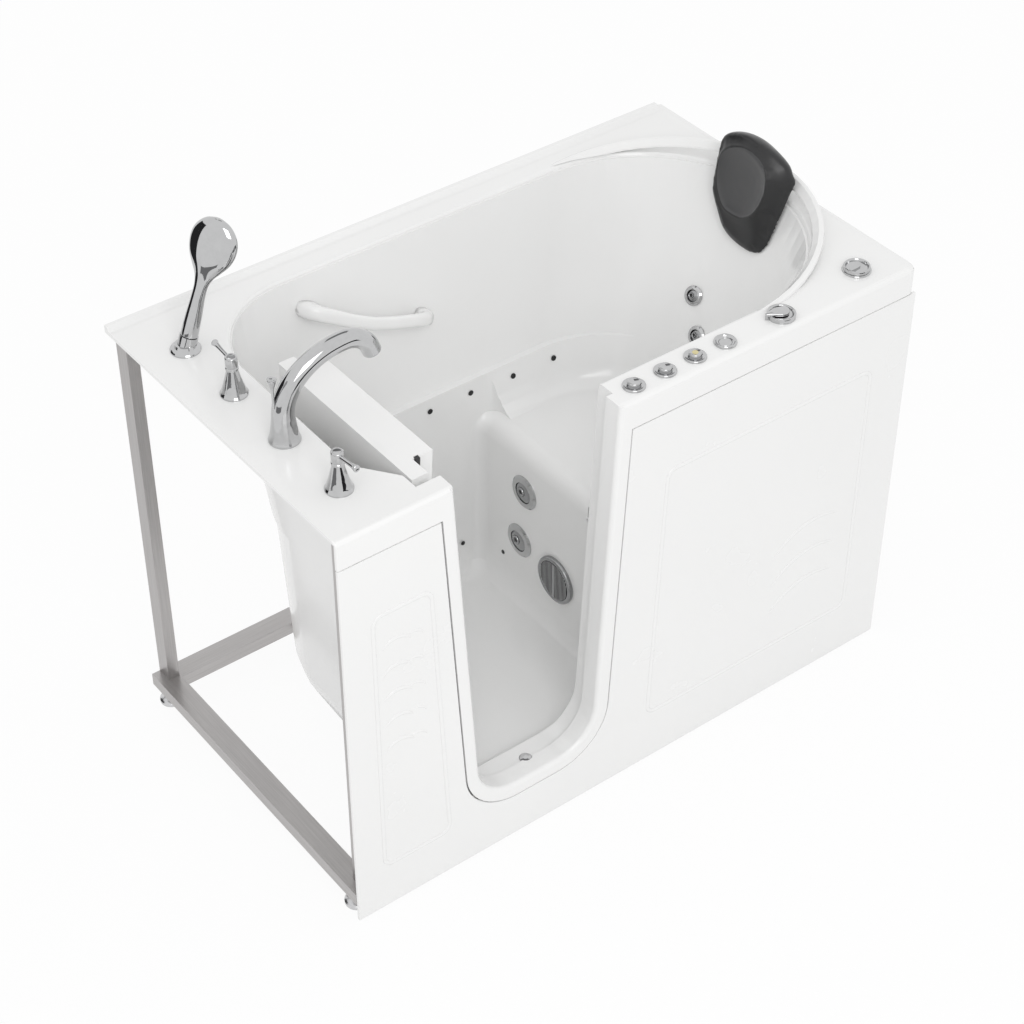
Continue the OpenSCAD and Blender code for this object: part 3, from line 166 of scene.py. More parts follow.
def keyLight():
    key = bpy.data.lights.new("key", "AREA")
    key.energy = studio["keyPower"]
    key.size = studio["keySize"]
    place = Vector(studio["keyPlace"])
    aimed(bpy.data.objects.new("key", key), place, Vector(studio["keyAim"]) - place, "-Z")


aimed(camera, cameraSetup["place"], cameraSetup["forward"], "-Z")
scene.camera = camera
brightWorld()
stagePlane("floor", (0, 0, -0.001), (0, 0, 1), studio["floorSize"], studio["floorSize"], floorMaterial())
reflectionCards()
keyLight()

print("materials")


def newMaterial(name, color, roughness, metallic=0.0):
    material = bpy.data.materials.new(name)
    material.use_nodes = True
    shader = material.node_tree.nodes["Principled BSDF"]
    shader.inputs["Base Color"].default_value = (*color, 1)
    shader.inputs["Roughness"].default_value = roughness
    shader.inputs["Metallic"].default_value = metallic
    return material, material.node_tree, shader


noiseBand = (0.3, 0.7)  # most of a noise's values lie between these


def noiseOf(tree, scale, detail=3.0, stretch=(1, 1, 1)):
    place = addNode(tree, "ShaderNodeTexCoord")
    turn = addNode(tree, "ShaderNodeMapping", [("Scale", stretch)])
    noise = addNode(tree, "ShaderNodeTexNoise", [("Scale", scale), ("Detail", detail)])
    wire(tree, (place.outputs["Object"], turn.inputs["Vector"]), (turn.outputs[0], noise.inputs["Vector"]))
    return noise.outputs["Fac"]


def rangeOf(tree, value, low, high):
    spread = addNode(tree, "ShaderNodeMapRange", [("From Min", noiseBand[0]), ("From Max", noiseBand[1]),
                                                  ("To Min", low), ("To Max", high)])
    wire(tree, (value, spread.inputs["Value"]))
    return spread.outputs[0]


def tintBetween(tree, value, dark, light, socket):
    ramp = addNode(tree, "ShaderNodeValToRGB")
    for stop, place, color in zip(ramp.color_ramp.elements, noiseBand, (dark, light)):
        stop.position = place
        stop.color = (*color, 1)
    wire(tree, (value, ramp.inputs[0]), (ramp.outputs[0], socket))


def bumpFrom(tree, shader, heights, distance, strength=1.0):
    normal = None
    for height in heights:
        bump = addNode(tree, "ShaderNodeBump", [("Strength", strength), ("Distance", distance)])
        wire(tree, (height, bump.inputs["Height"]))
        if normal:
            wire(tree, (normal, bump.inputs["Normal"]))
        normal = bump.outputs[0]
    wire(tree, (normal, shader.inputs["Normal"]))


def shaded(color, share):
    return tuple(min(1.0, c * share) for c in color)


def acrylicMaterial(name, color, roughness):
    material, tree, shader = newMaterial(name, color, roughness)
    rough = rangeOf(tree, noiseOf(tree, 5.5, 5), roughness * 0.85, roughness * 1.2)
    tintBetween(tree, noiseOf(tree, 2.1, 4), shaded(color, 0.988), shaded(color, 1.012),
                shader.inputs["Base Color"])
    wire(tree, (rough, shader.inputs["Roughness"]))
    for socket, value in (("Coat Weight", 0.25), ("Coat Roughness", 0.08), ("IOR", 1.49)):
        shader.inputs[socket].default_value = value
    bumpFrom(tree, shader, [noiseOf(tree, 7, 2)], 0.0003, 0.2)
    return material


def plateMaterial(name, color, low, high):  # polished plating with faint smears
    material, tree, shader = newMaterial(name, color, low, 1.0)
    wire(tree, (rangeOf(tree, noiseOf(tree, 38, 6), low, high), shader.inputs["Roughness"]))
    tintBetween(tree, noiseOf(tree, 90, 3), shaded(color, 0.95), color, shader.inputs["Base Color"])
    return material


def brushedMaterial(name, color, along):  # grain runs along one axis
    material, tree, shader = newMaterial(name, color, 0.36, 1.0)
    stretch = [1.0, 1.0, 1.0]
    stretch[along] = 0.02
    grain = noiseOf(tree, 420, 4, stretch)
    tintBetween(tree, grain, shaded(color, 0.86), color, shader.inputs["Base Color"])
    wire(tree, (rangeOf(tree, noiseOf(tree, 5, 4, stretch), 0.3, 0.44), shader.inputs["Roughness"]))
    shader.inputs["Anisotropic"].default_value = 0.4
    bumpFrom(tree, shader, [grain], 0.00005, 0.5)
    return material


def mouldedMaterial(name, color, roughness, grainScale, grainDepth):
    material, tree, shader = newMaterial(name, color, roughness)
    rough = rangeOf(tree, noiseOf(tree, 60, 4), roughness * 0.88, roughness * 1.15)
    tintBetween(tree, noiseOf(tree, 14, 5), color, shaded(color, 1.18), shader.inputs["Base Color"])
    wire(tree, (rough, shader.inputs["Roughness"]))
    bumpFrom(tree, shader, [noiseOf(tree, grainScale, 3)], grainDepth, 0.6)
    return material


def cushionMaterial():
    material, tree, shader = newMaterial("cushionSkin", (0.024, 0.024, 0.025), 0.34)
    place = addNode(tree, "ShaderNodeTexCoord")
    cells = addNode(tree, "ShaderNodeTexVoronoi", [("Scale", 620), ("Randomness", 1.0)])
    hollow = addNode(tree, "ShaderNodeAttribute", attribute_name="hollow")  # 1 on the dish, which is painted lighter as painted light
    shade = addNode(tree, "ShaderNodeMix", data_type="FLOAT")
    rough = rangeOf(tree, noiseOf(tree, 45, 4), 0.28, 0.4)
    wire(tree, (place.outputs["Object"], cells.inputs["Vector"]), (hollow.outputs["Fac"], shade.inputs[0]),
         (rangeOf(tree, noiseOf(tree, 20, 5), 0.0, 0.3), shade.inputs[2]),
         (rangeOf(tree, noiseOf(tree, 20, 5), 0.8, 1.0), shade.inputs[3]),
         (rough, shader.inputs["Roughness"]))
    # painted light: the dish is tinted lighter than the rest of the pad, standing in for light falling into
    # it
    tintBetween(tree, shade.outputs[0], (0.017, 0.017, 0.018), (0.062, 0.062, 0.064),
                shader.inputs["Base Color"])
    shader.inputs["Sheen Weight"].default_value = 0.15
    shader.inputs["Sheen Roughness"].default_value = 0.35
    bumpFrom(tree, shader, [cells.outputs["Distance"], noiseOf(tree, 9, 2)], 0.00016, 0.3)
    return material


acrylicWhite = acrylicMaterial("acrylicWhite", (0.875, 0.875, 0.87), 0.2)
skirtWhite = acrylicMaterial("skirtWhite", (0.875, 0.875, 0.87), 0.24)
chromePlate = plateMaterial("chromePlate", (0.54, 0.542, 0.546), 0.03, 0.07)
zincPlate = plateMaterial("zincPlate", (0.62, 0.62, 0.63), 0.18, 0.3)
steelAlongX = brushedMaterial("steelAlongX", (0.5, 0.485, 0.48), 0)
steelAlongY = brushedMaterial("steelAlongY", (0.5, 0.485, 0.48), 1)
steelAlongZ = brushedMaterial("steelAlongZ", (0.5, 0.485, 0.48), 2)
gasketRubber = mouldedMaterial("gasketRubber", (0.03, 0.03, 0.031), 0.62, 300, 0.0001)
padRubber = mouldedMaterial("padRubber", (0.022, 0.022, 0.022), 0.8, 240, 0.0002)
blackPlastic = mouldedMaterial("blackPlastic", (0.018, 0.018, 0.02), 0.42, 520, 0.0001)
greyPlastic = mouldedMaterial("greyPlastic", (0.09, 0.093, 0.1), 0.4, 600, 0.00006)
whitePipe = mouldedMaterial("whitePipe", (0.78, 0.78, 0.765), 0.32, 260, 0.00005)
motorPaint = mouldedMaterial("motorPaint", (0.075, 0.08, 0.09), 0.38, 380, 0.00012)
cushionSkin = cushionMaterial()
jetPlate = plateMaterial("jetPlate", (0.36, 0.363, 0.368), 0.1, 0.2)
# painted shade: near black that stands in for the shade down the holes of the jets, suction cover and air
# injectors
paintedHoleShade = mouldedMaterial("paintedHoleShade", (0.006, 0.006, 0.0065), 0.5, 300, 0.00005)
lensAmber = mouldedMaterial("lensAmber", (0.62, 0.55, 0.3), 0.3, 300, 0.00003)
satinSteel = plateMaterial("satinSteel", (0.72, 0.72, 0.72), 0.3, 0.4)

finishOf = {name: chromePlate for name in nodes}  # chrome unless it is listed here
for finish, names in (
        (acrylicWhite, ("tub_shell", "door_panel")),
        (steelAlongX, ("frame_long_rails",)),
        (steelAlongY, ("frame_end_rails", "frame_cross_bars", "seat_support")),
        (steelAlongZ, ("frame_posts",)),
        (zincPlate, ("foot_locknuts", "spout_shank", "foot_front_left", "foot_back_left", "foot_front_right",
                     "foot_back_right")),
        (gasketRubber, ("door_gasket",)), (padRubber, ("floor_pads",)), (motorPaint, ("pump_motor",)),
        (whitePipe, ("suction_body", "water_pipes")),
        (blackPlastic, ("water_pump", "air_blower", "control_box")),
        (paintedHoleShade, ("air_injectors",)), (satinSteel, ("latch_keeper",))):
    finishOf.update({name: finish for name in names})


rebuilt = set()  # nodes that a skin stands for


def dressed(piece, material, node, slotOwner=None):  # stands for the node, or, given an owner, is added beside the node and leaves it shown
    piece.data.materials.clear()
    piece.data.materials.append(material)
    if not piece.users_collection:
        scene.collection.objects.link(piece)
    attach(piece, bodyOf[node])
    if not slotOwner:
        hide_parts(node)
        rebuilt.add(node)


def smoothShade(mesh, angle):
    mesh.polygons.foreach_set("use_smooth", [True] * len(mesh.polygons))
    mesh.set_sharp_from_angle(angle=math.radians(angle))
    mesh.update()


def weighted(piece):  # large faces keep their own direction at a rounded edge
    modifier = piece.modifiers.new("weighted", "WEIGHTED_NORMAL")
    modifier.keep_sharp = True
    modifier.weight = 60


def applied(piece):  # the mesh with the piece's modifiers made real
    depsgraph = bpy.context.evaluated_depsgraph_get()
    mesh = bpy.data.meshes.new_from_object(piece.evaluated_get(depsgraph), depsgraph=depsgraph)
    piece.modifiers.clear()
    return mesh


weldGap = 2e-6


def cleanCopy(node, name, angle=30):
    source = nodes[node].data
    mesh = bpy.data.meshes.new(name)
    mesh.from_pydata([v.co for v in source.vertices], [], [p.vertices for p in source.polygons])
    work = bmesh.new()
    work.from_mesh(mesh)
    bmesh.ops.remove_doubles(work, verts=work.verts, dist=2 * weldGap)
    bmesh.ops.dissolve_degenerate(work, edges=work.edges, dist=weldGap)
    work.to_mesh(mesh)
    work.free()
    smoothShade(mesh, angle)
    piece = bpy.data.objects.new(name, mesh)
    weighted(piece)
    return piece


def welded(mesh, gap=weldGap, closeHoles=False):
    work = bmesh.new()
    work.from_mesh(mesh)
    bmesh.ops.remove_doubles(work, verts=work.verts, dist=gap)
    if closeHoles:
        bmesh.ops.holes_fill(work, edges=[e for e in work.edges if e.is_boundary])
    bmesh.ops.recalc_face_normals(work, faces=work.faces)
    work.to_mesh(mesh)
    work.free()
    return mesh


def loftRings(name, rings, closeStart=True, closeEnd=True):  # rings of equal length, each a list of points
    count = len(rings[0])
    verts = [p for ring in rings for p in ring]
    faces = []
    for i in range(len(rings) - 1):
        for k in range(count):
            a, b = i * count + k, i * count + (k + 1) % count
            faces.append((a, b, b + count, a + count))
    if closeStart:
        verts.append(sum(rings[0], Vector()) / count)
        faces += [(len(verts) - 1, (k + 1) % count, k) for k in range(count)]
    if closeEnd:
        verts.append(sum(rings[-1], Vector()) / count)
        base = (len(rings) - 1) * count
        faces += [(len(verts) - 1, base + k, base + (k + 1) % count) for k in range(count)]
    mesh = bpy.data.meshes.new(name)
    mesh.from_pydata(verts, [], faces)
    return welded(mesh)


def ease(t):
    t = max(0.0, min(1.0, t))
    return t * t * (3 - 2 * t)


def between(p0, p1, p2, p3, steps):  # smooth points from p1 up to p2, led by their neighbours
    return [0.5 * (2 * p1 + (p2 - p0) * t + (2 * p0 - 5 * p1 + 4 * p2 - p3) * t * t
                   + (3 * p1 - p0 - 3 * p2 + p3) * t * t * t) for t in (j / steps for j in range(steps))]


def splineLoop(points, steps):  # closed smooth curve through the points
    count = len(points)
    return [q for i in range(count)
            for q in between(*(points[(i + k) % count] for k in (-1, 0, 1, 2)), steps)]


def splineLine(points, steps):  # open smooth curve through the points
    ends = [2 * points[0] - points[1]] + list(points) + [2 * points[-1] - points[-2]]
    return [q for i in range(1, len(ends) - 2) for q in between(*ends[i - 1:i + 3], steps)] + [points[-1]]


print("node tools")


def newTree(name, inputs):
    tree = bpy.data.node_groups.new(name, "GeometryNodeTree")
    tree.interface.new_socket("Geometry", in_out="INPUT", socket_type="NodeSocketGeometry")
    for label, kind, value in inputs:
        socket = tree.interface.new_socket(label, in_out="INPUT", socket_type=kind)
        if value is not None:
            socket.default_value = value
    tree.interface.new_socket("Geometry", in_out="OUTPUT", socket_type="NodeSocketGeometry")
    return tree, tree.nodes.new("NodeGroupInput"), tree.nodes.new("NodeGroupOutput")


def grownMesh(name, mesh, tree, values):  # runs the tree on the mesh and keeps the result as plain mesh
    holder = bpy.data.objects.new(name + ".holder", mesh)
    scene.collection.objects.link(holder)
    modifier = holder.modifiers.new("build", "NODES")
    modifier.node_group = tree
    for item in tree.interface.items_tree:
        if item.item_type == "SOCKET" and item.in_out == "INPUT" and item.name in values:
            modifier[item.identifier] = values[item.name]
    result = applied(holder)
    bpy.data.objects.remove(holder)
    result.name = name
    return result


def finishTree(tree, given, out, socket):  # one real mesh in the given finish
    realize = addNode(tree, "GeometryNodeRealizeInstances")
    finish = addNode(tree, "GeometryNodeSetMaterial")
    wire(tree, (socket, realize.inputs["Geometry"]), (realize.outputs["Geometry"], finish.inputs["Geometry"]),
         (given.outputs["Finish"], finish.inputs["Material"]),
         (finish.outputs["Geometry"], out.inputs["Geometry"]))
    return tree


def namedAttribute(tree, name, kind):
    node = addNode(tree, "GeometryNodeInputNamedAttribute", [("Name", name)], data_type=kind)
    return node.outputs["Attribute"]


def sweepTree():  # a round tube along a line of points, as thick as each point says
    tree, given, out = newTree("tubeAlongLine", [
        ("Sides", "NodeSocketInt", 48), ("Thickness", "NodeSocketFloat", 1.0),
        ("Finish", "NodeSocketMaterial", None)])
    toCurve = addNode(tree, "GeometryNodeMeshToCurve")
    times = addNode(tree, "ShaderNodeMath", operation="MULTIPLY")
    radius = addNode(tree, "GeometryNodeSetCurveRadius")
    ring = addNode(tree, "GeometryNodeCurvePrimitiveCircle", [("Radius", 1.0)])
    skin = addNode(tree, "GeometryNodeCurveToMesh")
    wire(tree, (given.outputs["Geometry"], toCurve.inputs["Mesh"]),
         (namedAttribute(tree, "thick", "FLOAT"), times.inputs[0]),
         (given.outputs["Thickness"], times.inputs[1]),
         (toCurve.outputs["Curve"], radius.inputs["Curve"]), (times.outputs[0], radius.inputs["Radius"]),
         (given.outputs["Sides"], ring.inputs["Resolution"]), (radius.outputs["Curve"], skin.inputs["Curve"]),
         (ring.outputs["Curve"], skin.inputs["Profile Curve"]))
    if "Scale" in skin.inputs:
        wire(tree, (times.outputs[0], skin.inputs["Scale"]))
    return finishTree(tree, given, out, skin.outputs["Mesh"])


def spreadTree(tree, given, out, shape, socket, value):  # the shape on every point of the mesh
    points = addNode(tree, "GeometryNodeMeshToPoints")
    spread = addNode(tree, "GeometryNodeInstanceOnPoints")
    wire(tree, (given.outputs["Geometry"], points.inputs["Mesh"]),
         (points.outputs["Points"], spread.inputs["Points"]),
         (shape.outputs["Mesh"], spread.inputs["Instance"]), (value, spread.inputs[socket]))
    return finishTree(tree, given, out, spread.outputs["Instances"])


def studTree():  # one short stud on every point, standing along its facing
    tree, given, out = newTree("studsOnPoints", [
        ("Radius", "NodeSocketFloat", 1.5), ("Tip", "NodeSocketFloat", 1.0),
        ("Height", "NodeSocketFloat", 2.0), ("Sides", "NodeSocketInt", 12),
        ("Finish", "NodeSocketMaterial", None)])
    cone = addNode(tree, "GeometryNodeMeshCone")
    align = addNode(tree, "FunctionNodeAlignRotationToVector", axis="Z")
    wire(tree, (namedAttribute(tree, "facing", "FLOAT_VECTOR"), align.inputs["Vector"]))
    for label, socket in (("Sides", "Vertices"), ("Radius", "Radius Bottom"), ("Tip", "Radius Top"),
                          ("Height", "Depth")):
        wire(tree, (given.outputs[label], cone.inputs[socket]))
    return spreadTree(tree, given, out, cone, "Rotation", align.outputs["Rotation"])


def slatTree():  # a slat on every point, as long as the point says
    tree, given, out = newTree("slatsOnPoints", [
        ("Width", "NodeSocketFloat", 0.0026), ("Height", "NodeSocketFloat", 0.0024),
        ("Finish", "NodeSocketMaterial", None)])
    slat = addNode(tree, "GeometryNodeMeshCube")
    size = addNode(tree, "ShaderNodeCombineXYZ", [(0, 1.0)])
    scale = addNode(tree, "ShaderNodeCombineXYZ", [(1, 1.0), (2, 1.0)])
    wire(tree, (given.outputs["Width"], size.inputs[1]), (given.outputs["Height"], size.inputs[2]),
         (size.outputs[0], slat.inputs["Size"]), (namedAttribute(tree, "span", "FLOAT"), scale.inputs[0]))
    return spreadTree(tree, given, out, slat, "Scale", scale.outputs[0])


tubeAlong, studsOn, slatsOn = sweepTree(), studTree(), slatTree()


def lineMesh(name, points, thickness):
    mesh = bpy.data.meshes.new(name)
    mesh.from_pydata(points, [(i, i + 1) for i in range(len(points) - 1)], [])
    mesh.attributes.new("thick", "FLOAT", "POINT").data.foreach_set("value", thickness)
    return mesh


def studMesh(name, places, facings, sizes, sides, finish):  # sizes hold radius, tip and height
    cloud = bpy.data.meshes.new(name + ".points")
    cloud.from_pydata(places, [], [])
    flat = [c for facing in facings for c in facing]
    cloud.attributes.new("facing", "FLOAT_VECTOR", "POINT").data.foreach_set("vector", flat)
    return grownMesh(name, cloud, studsOn, {
        "Radius": sizes["radius"] * mm, "Tip": sizes["tip"] * mm, "Height": sizes["height"] * mm,
        "Sides": sides, "Finish": finish})


def joined(name, meshes):
    work = bmesh.new()
    for mesh in meshes:
        work.from_mesh(mesh)
    result = bpy.data.meshes.new(name)
    work.to_mesh(result)
    work.free()
    return result


def built(node, part, material, meshes, slotOwner=None):
    name = node + "." + part
    dressed(bpy.data.objects.new(name, joined(name, meshes)), material, node, slotOwner)


def lathe(profile, place, turn, sides):  # profile in (radius, height), millimetres
    circle = [(math.cos(math.tau * k / sides), math.sin(math.tau * k / sides)) for k in range(sides)]
    return [[place + turn @ (Vector((radius * c, radius * s, height)) * mm) for c, s in circle]
            for radius, height in profile]


upRight = Matrix.Identity(3)


def turned(name, profile, place, turn=upRight, sides=64, bored=False):  # bored leaves a hole through it
    rings = lathe(profile + profile[:1] if bored else profile, place, turn, sides)
    mesh = loftRings(name, rings, not bored, not bored)
    smoothShade(mesh, 34)
    return mesh


print("spout")
tap = {"x": 87, "deck": 955}  # the line the taps stand in, and the deck's height
spout = {
    "y": 287, "rise": 52, "arcRadius": 103, "reach": 190, "tipRadius": 60, "thick": 21.5, "thinner": 3.5,
    "baseFlare": [(29.2, 0), (29.5, 0.6), (29.5, 2.6), (28.6, 4.8), (27.2, 9), (25.8, 15), (24.6, 22),
                  (23.4, 30), (22.4, 38), (21.7, 45)],
    "flareTop": 48, "mouth": 12.4, "sides": 64, "weld": 8e-5,
}


def spoutLine():
    rise, arcR, tipR = spout["rise"], spout["arcRadius"], spout["tipRadius"]
    tipX = spout["reach"] - tipR
    bend = [Vector((0, 0, rise * s)) for s in (0, 0.5, 1)]
    for a in map(math.radians, range(75, -1, -15)):
        bend.append(Vector((tipX * (1 - math.sin(a)), 0, rise + arcR * math.cos(a))))
    for a in map(math.radians, range(19, 77, 19)):
        bend.append(Vector((tipX + tipR * math.sin(a), 0, rise + arcR - tipR * (1 - math.cos(a)))))
    return bend


def spoutMesh():
    foot = atCorner(tap["x"], spout["y"], tap["deck"])
    bend = spoutLine()
    last = len(bend) - 1
    sizes = [Vector((spout["thick"] - spout["thinner"] * ease(1.6 * i / last), 0, 0))
             for i in range(last + 1)]
    above = [(p, s.x) for p, s in zip(splineLine(bend, 8), splineLine(sizes, 8))
             if p.z > spout["flareTop"] or p.x > 1]
    middles = [Vector((0, 0, h)) for r, h in spout["baseFlare"]] + [p for p, s in above]
    thick = [r for r, h in spout["baseFlare"]] + [s for p, s in above]
    points = [foot + p * mm for p in middles]
    line = lineMesh("spoutLine", points, [t * mm for t in thick])
    tube = grownMesh("spoutTube", line, tubeAlong, {
        "Sides": spout["sides"], "Thickness": 1.0, "Finish": chromePlate})
    # rounded lip, then the mouth with its flow straightener
    turn = (points[-1] - points[-2]).normalized().to_track_quat("Z", "Y").to_matrix()
    lip, mouth = thick[-1], spout["mouth"]
    profile = [(lip, 0), (lip - 0.1, 0.7), (lip - 0.7, 1.5), (lip - 1.6, 1.9), (mouth + 1, 1.9),
               (mouth + 0.3, 1.6), (mouth, 0.8), (mouth, -6.5), (mouth - 0.6, -6.9), (0.4, -6.9)]
    end = loftRings("spoutMouth", lathe(profile, points[-1], turn, spout["sides"]), False)
    mesh = welded(joined("spout.skin", [tube, end]), spout["weld"], True)
    smoothShade(mesh, 40)
    return mesh


dressed(bpy.data.objects.new("spout.skin", spoutMesh()), chromePlate, "spout")

print("hand shower")
handset = {
    "place": (90, 618, 963), "lean": 20, "turn": 27, "sides": 72,
    # along the handle, half width, half thickness, offset to the front
    "stem": [(-3.7, 12.5, 12.5, 0), (8, 12.5, 12.5, 0), (20.3, 12.5, 12.5, 0), (20.3, 15, 15, 0),
             (21, 16, 16, 0)],
    "form": [(24, 16.5, 16.5, 0), (60, 15.6, 15.2, -0.5), (95, 13.4, 12.6, -1), (122, 13.4, 11, 0),
             (140, 19, 11.5, 3), (156, 30, 12, 6), (176, 42.5, 12.5, 9), (198, 48, 13, 11),
             (218, 46, 12.5, 11.5), (234, 37.5, 11, 11), (246, 24.5, 8, 10), (252, 9, 3.5, 9.5)],
    "dome": 0.6, "domeFrom": 130, "domeOver": 45, "seatRadius": 35, "faceAlong": 198, "faceOut": 20,
}


def handsetPlace(along, across, out):
    lean, turn = math.radians(handset["lean"]), math.radians(handset["turn"])
    out, across = (out * math.cos(turn) - across * math.sin(turn),
                   out * math.sin(turn) + across * math.cos(turn))
    x, y, z = handset["place"]
    return atCorner(x + out * math.cos(lean) + along * math.sin(lean), y + across,
                    z - out * math.sin(lean) + along * math.cos(lean))


def handsetMesh():
    rings = []
    body = splineLine([Vector(f) for f in handset["form"]], 5)
    for z, w, t, o in handset["stem"] + [tuple(f) for f in body]:
        ring = []
        for k in range(handset["sides"]):
            a = math.tau * k / handset["sides"]
            behind = 1 + handset["dome"] * ease((z - handset["domeFrom"]) / handset["domeOver"])
            out = o + t * math.cos(a) * (behind if math.cos(a) < 0 else 1)
            across = w * math.sin(a)
            if math.cos(a) > 0 and math.hypot(z - handset["faceAlong"], across) < handset["seatRadius"]:
                out = min(out, handset["faceOut"])  # flat seat of the spray face
            ring.append(handsetPlace(z, across, out))
        rings.append(ring)
    mesh = loftRings("hand_shower.skin", rings)
    smoothShade(mesh, 38)
    return mesh


dressed(bpy.data.objects.new("hand_shower.skin", handsetMesh()), chromePlate, "hand_shower")
sprayFace = {
    "plate": [(32.4, -0.2), (32.5, 1.4), (31.4, 2.5), (29.6, 2.9), (28.4, 2.4), (4, 2.0), (0.3, 2.0)],
    "above": 0.3, "rings": (9, 18, 27), "pitch": 8.4, "level": 1.6,
    "nozzle": {"radius": 1.7, "tip": 1.1, "height": 2.2},
}


def sprayMeshes():
    along, out = handset["faceAlong"], handset["faceOut"] + sprayFace["above"]
    center = handsetPlace(along, 0, out)
    normal = (handsetPlace(along, 0, out + 1) - center).normalized()
    turn = normal.to_track_quat("Z", "Y").to_matrix()
    places = []
    for ring in sprayFace["rings"]:
        count = int(math.tau * ring / sprayFace["pitch"])
        for a in (math.tau * k / count for k in range(count)):
            spot = Vector((ring * math.cos(a), ring * math.sin(a), sprayFace["level"]))
            places.append(center + turn @ spot * mm)
    nozzles = studMesh("nozzles", places, [normal] * len(places), sprayFace["nozzle"], 12, greyPlastic)
    return [turned("spray", sprayFace["plate"], center, turn), nozzles]


built("spray_plate", "face", greyPlastic, sprayMeshes())

print("levers and diverter")
levers = {
    "arms": {"hot_lever": (118, -90, 60), "cold_lever": (452, 90, 56)},  # place, turn and length
    "hub": [(0.3, 60.3), (11.3, 60.3), (11.6, 60.9), (11.6, 79), (11.2, 80.6), (10.2, 81.6), (8.6, 82),
            (7.6, 81.2), (2, 80.8), (0.3, 80.8)],
    "height": 73, "tilt": 82,
}
for node, (y, angle, long) in levers["arms"].items():
    foot = atCorner(tap["x"], y, tap["deck"])
    arm = Matrix.Rotation(math.radians(angle), 3, "Z") @ Matrix.Rotation(math.radians(levers["tilt"]), 3, "Y")
    profile = [(0.3, 2), (4.3, 2), (3.9, 14), (3.7, 24), (4.0, long - 18), (4.8, long - 9), (6.0, long - 4),
               (6.7, long - 2.4), (6.8, long - 1.4), (6.2, long - 0.4), (5.4, long), (3.8, long - 0.7),
               (0.3, long - 1)]
    built(node, "turned", chromePlate, [
        turned("hub", levers["hub"], foot),
        turned("arm", profile, foot + Vector((0, 0, levers["height"] * mm)), arm)])

diverter = {
    "behind": 17,
    "rod": [(0.3, 24), (2.4, 24), (2.4, 112), (3.0, 117), (4.6, 123), (7.2, 131), (8.5, 135.4), (8.6, 137),
            (8.0, 138.4), (6.8, 138.9), (5.8, 138.2), (0.3, 137.6)],
}
built("diverter_pull", "turned", chromePlate, [
    turned("rod", diverter["rod"], atCorner(tap["x"] - diverter["behind"], spout["y"], tap["deck"]))])

print("controls on the front deck")
controls = {
    "buttons": (668, 741, 812, 885), "buttonLine": 37, "selector": (1023, 37), "air": (1239, 62),
    "ringSides": 72,
    "bezel": [(13.3, -8), (21.4, -8), (21.4, 0), (22, 0), (22, 2.2), (21.6, 3.4), (20.7, 4.2), (19.6, 4.4),
              (18.6, 3.9), (17.2, 2.7), (15.2, 1.7), (13.1, 1.3), (12.8, 0.6), (12.8, -8)],
    "button": [(0.3, -8), (12.5, -8), (12.5, 9.6), (12.2, 10.8), (11.3, 11.7), (10.2, 12), (9.2, 11.7),
               (8.2, 11.2), (0.3, 10.9)],
    "lens": [(0.3, 10.9), (5.6, 10.9), (6, 11.1), (5.6, 11.5), (3, 11.9), (0.3, 12)],
    "cup": [(21.4, -8), (21.4, 0), (22, 0), (22, 3), (21.6, 4.4), (20.6, 5.3), (19.4, 5.5), (18.3, 4.9),
            (17, 2.4), (15.4, 1.4), (13.2, 1.2), (12.9, 0.8), (12.9, -8)],
    "cupButton": [(0.3, -8), (12.6, -8), (12.6, 0.6), (12, 1.3), (9, 1.1), (0.3, 0.8)],
    "dialRing": [(5.3, -8), (27.2, -8), (27.2, 0), (27.6, 0), (27.6, 7.4), (27.2, 8.6), (26.2, 9.3),
                 (25, 9.4), (23.9, 8.8), (22.6, 6.6), (21.4, 4.2), (19, 3), (5.3, 3)],
    "airRing": [(5.3, -8), (28, -8), (28, 0), (28.5, 0), (28.5, 2.4), (27.9, 3.2), (26.6, 3.6),
                (5.3, 3.6)],
    "airCup": [(0.3, 3.8), (25.6, 3.8), (26.2, 4.6), (26.2, 9.4), (25.7, 10.6), (24.6, 11.3), (23.4, 11.3),
               (22.4, 10.6), (21.4, 8), (20.6, 5.8), (18.4, 5), (0.3, 4.8)],
    "ridge": [(-17, -1.6), (-16, -3), (6, -3), (8, -1.6), (8, 1.6), (6, 3), (-16, 3), (-17, 1.6)],
    "ridgeLevels": [(4.6, 1, 1), (7.2, 1, 1), (7.8, 0.97, 0.8)],  # height, length and width
}
knob = {
    "disc": [(0.3, 3.3), (21, 3.3), (21, 5.4), (20.2, 6.3), (18.6, 6.6), (0.3, 6.6)],
    "tip": (-31, 7.5), "broad": 15.0, "small": 2.4, "middle": 0.35,
    "levels": [(8.6, 0.8), (9.2, 0.1), (12.6, 0), (13.8, 0.5), (14.4, 1.6)],  # height and inset
    "ringEdge": 27.9, "skirtInner": 28.1, "skirtLevels": (1.2, 9.4),
}


def ringOf(profile, place):
    return turned("ring", profile, place, sides=controls["ringSides"], bored=True)


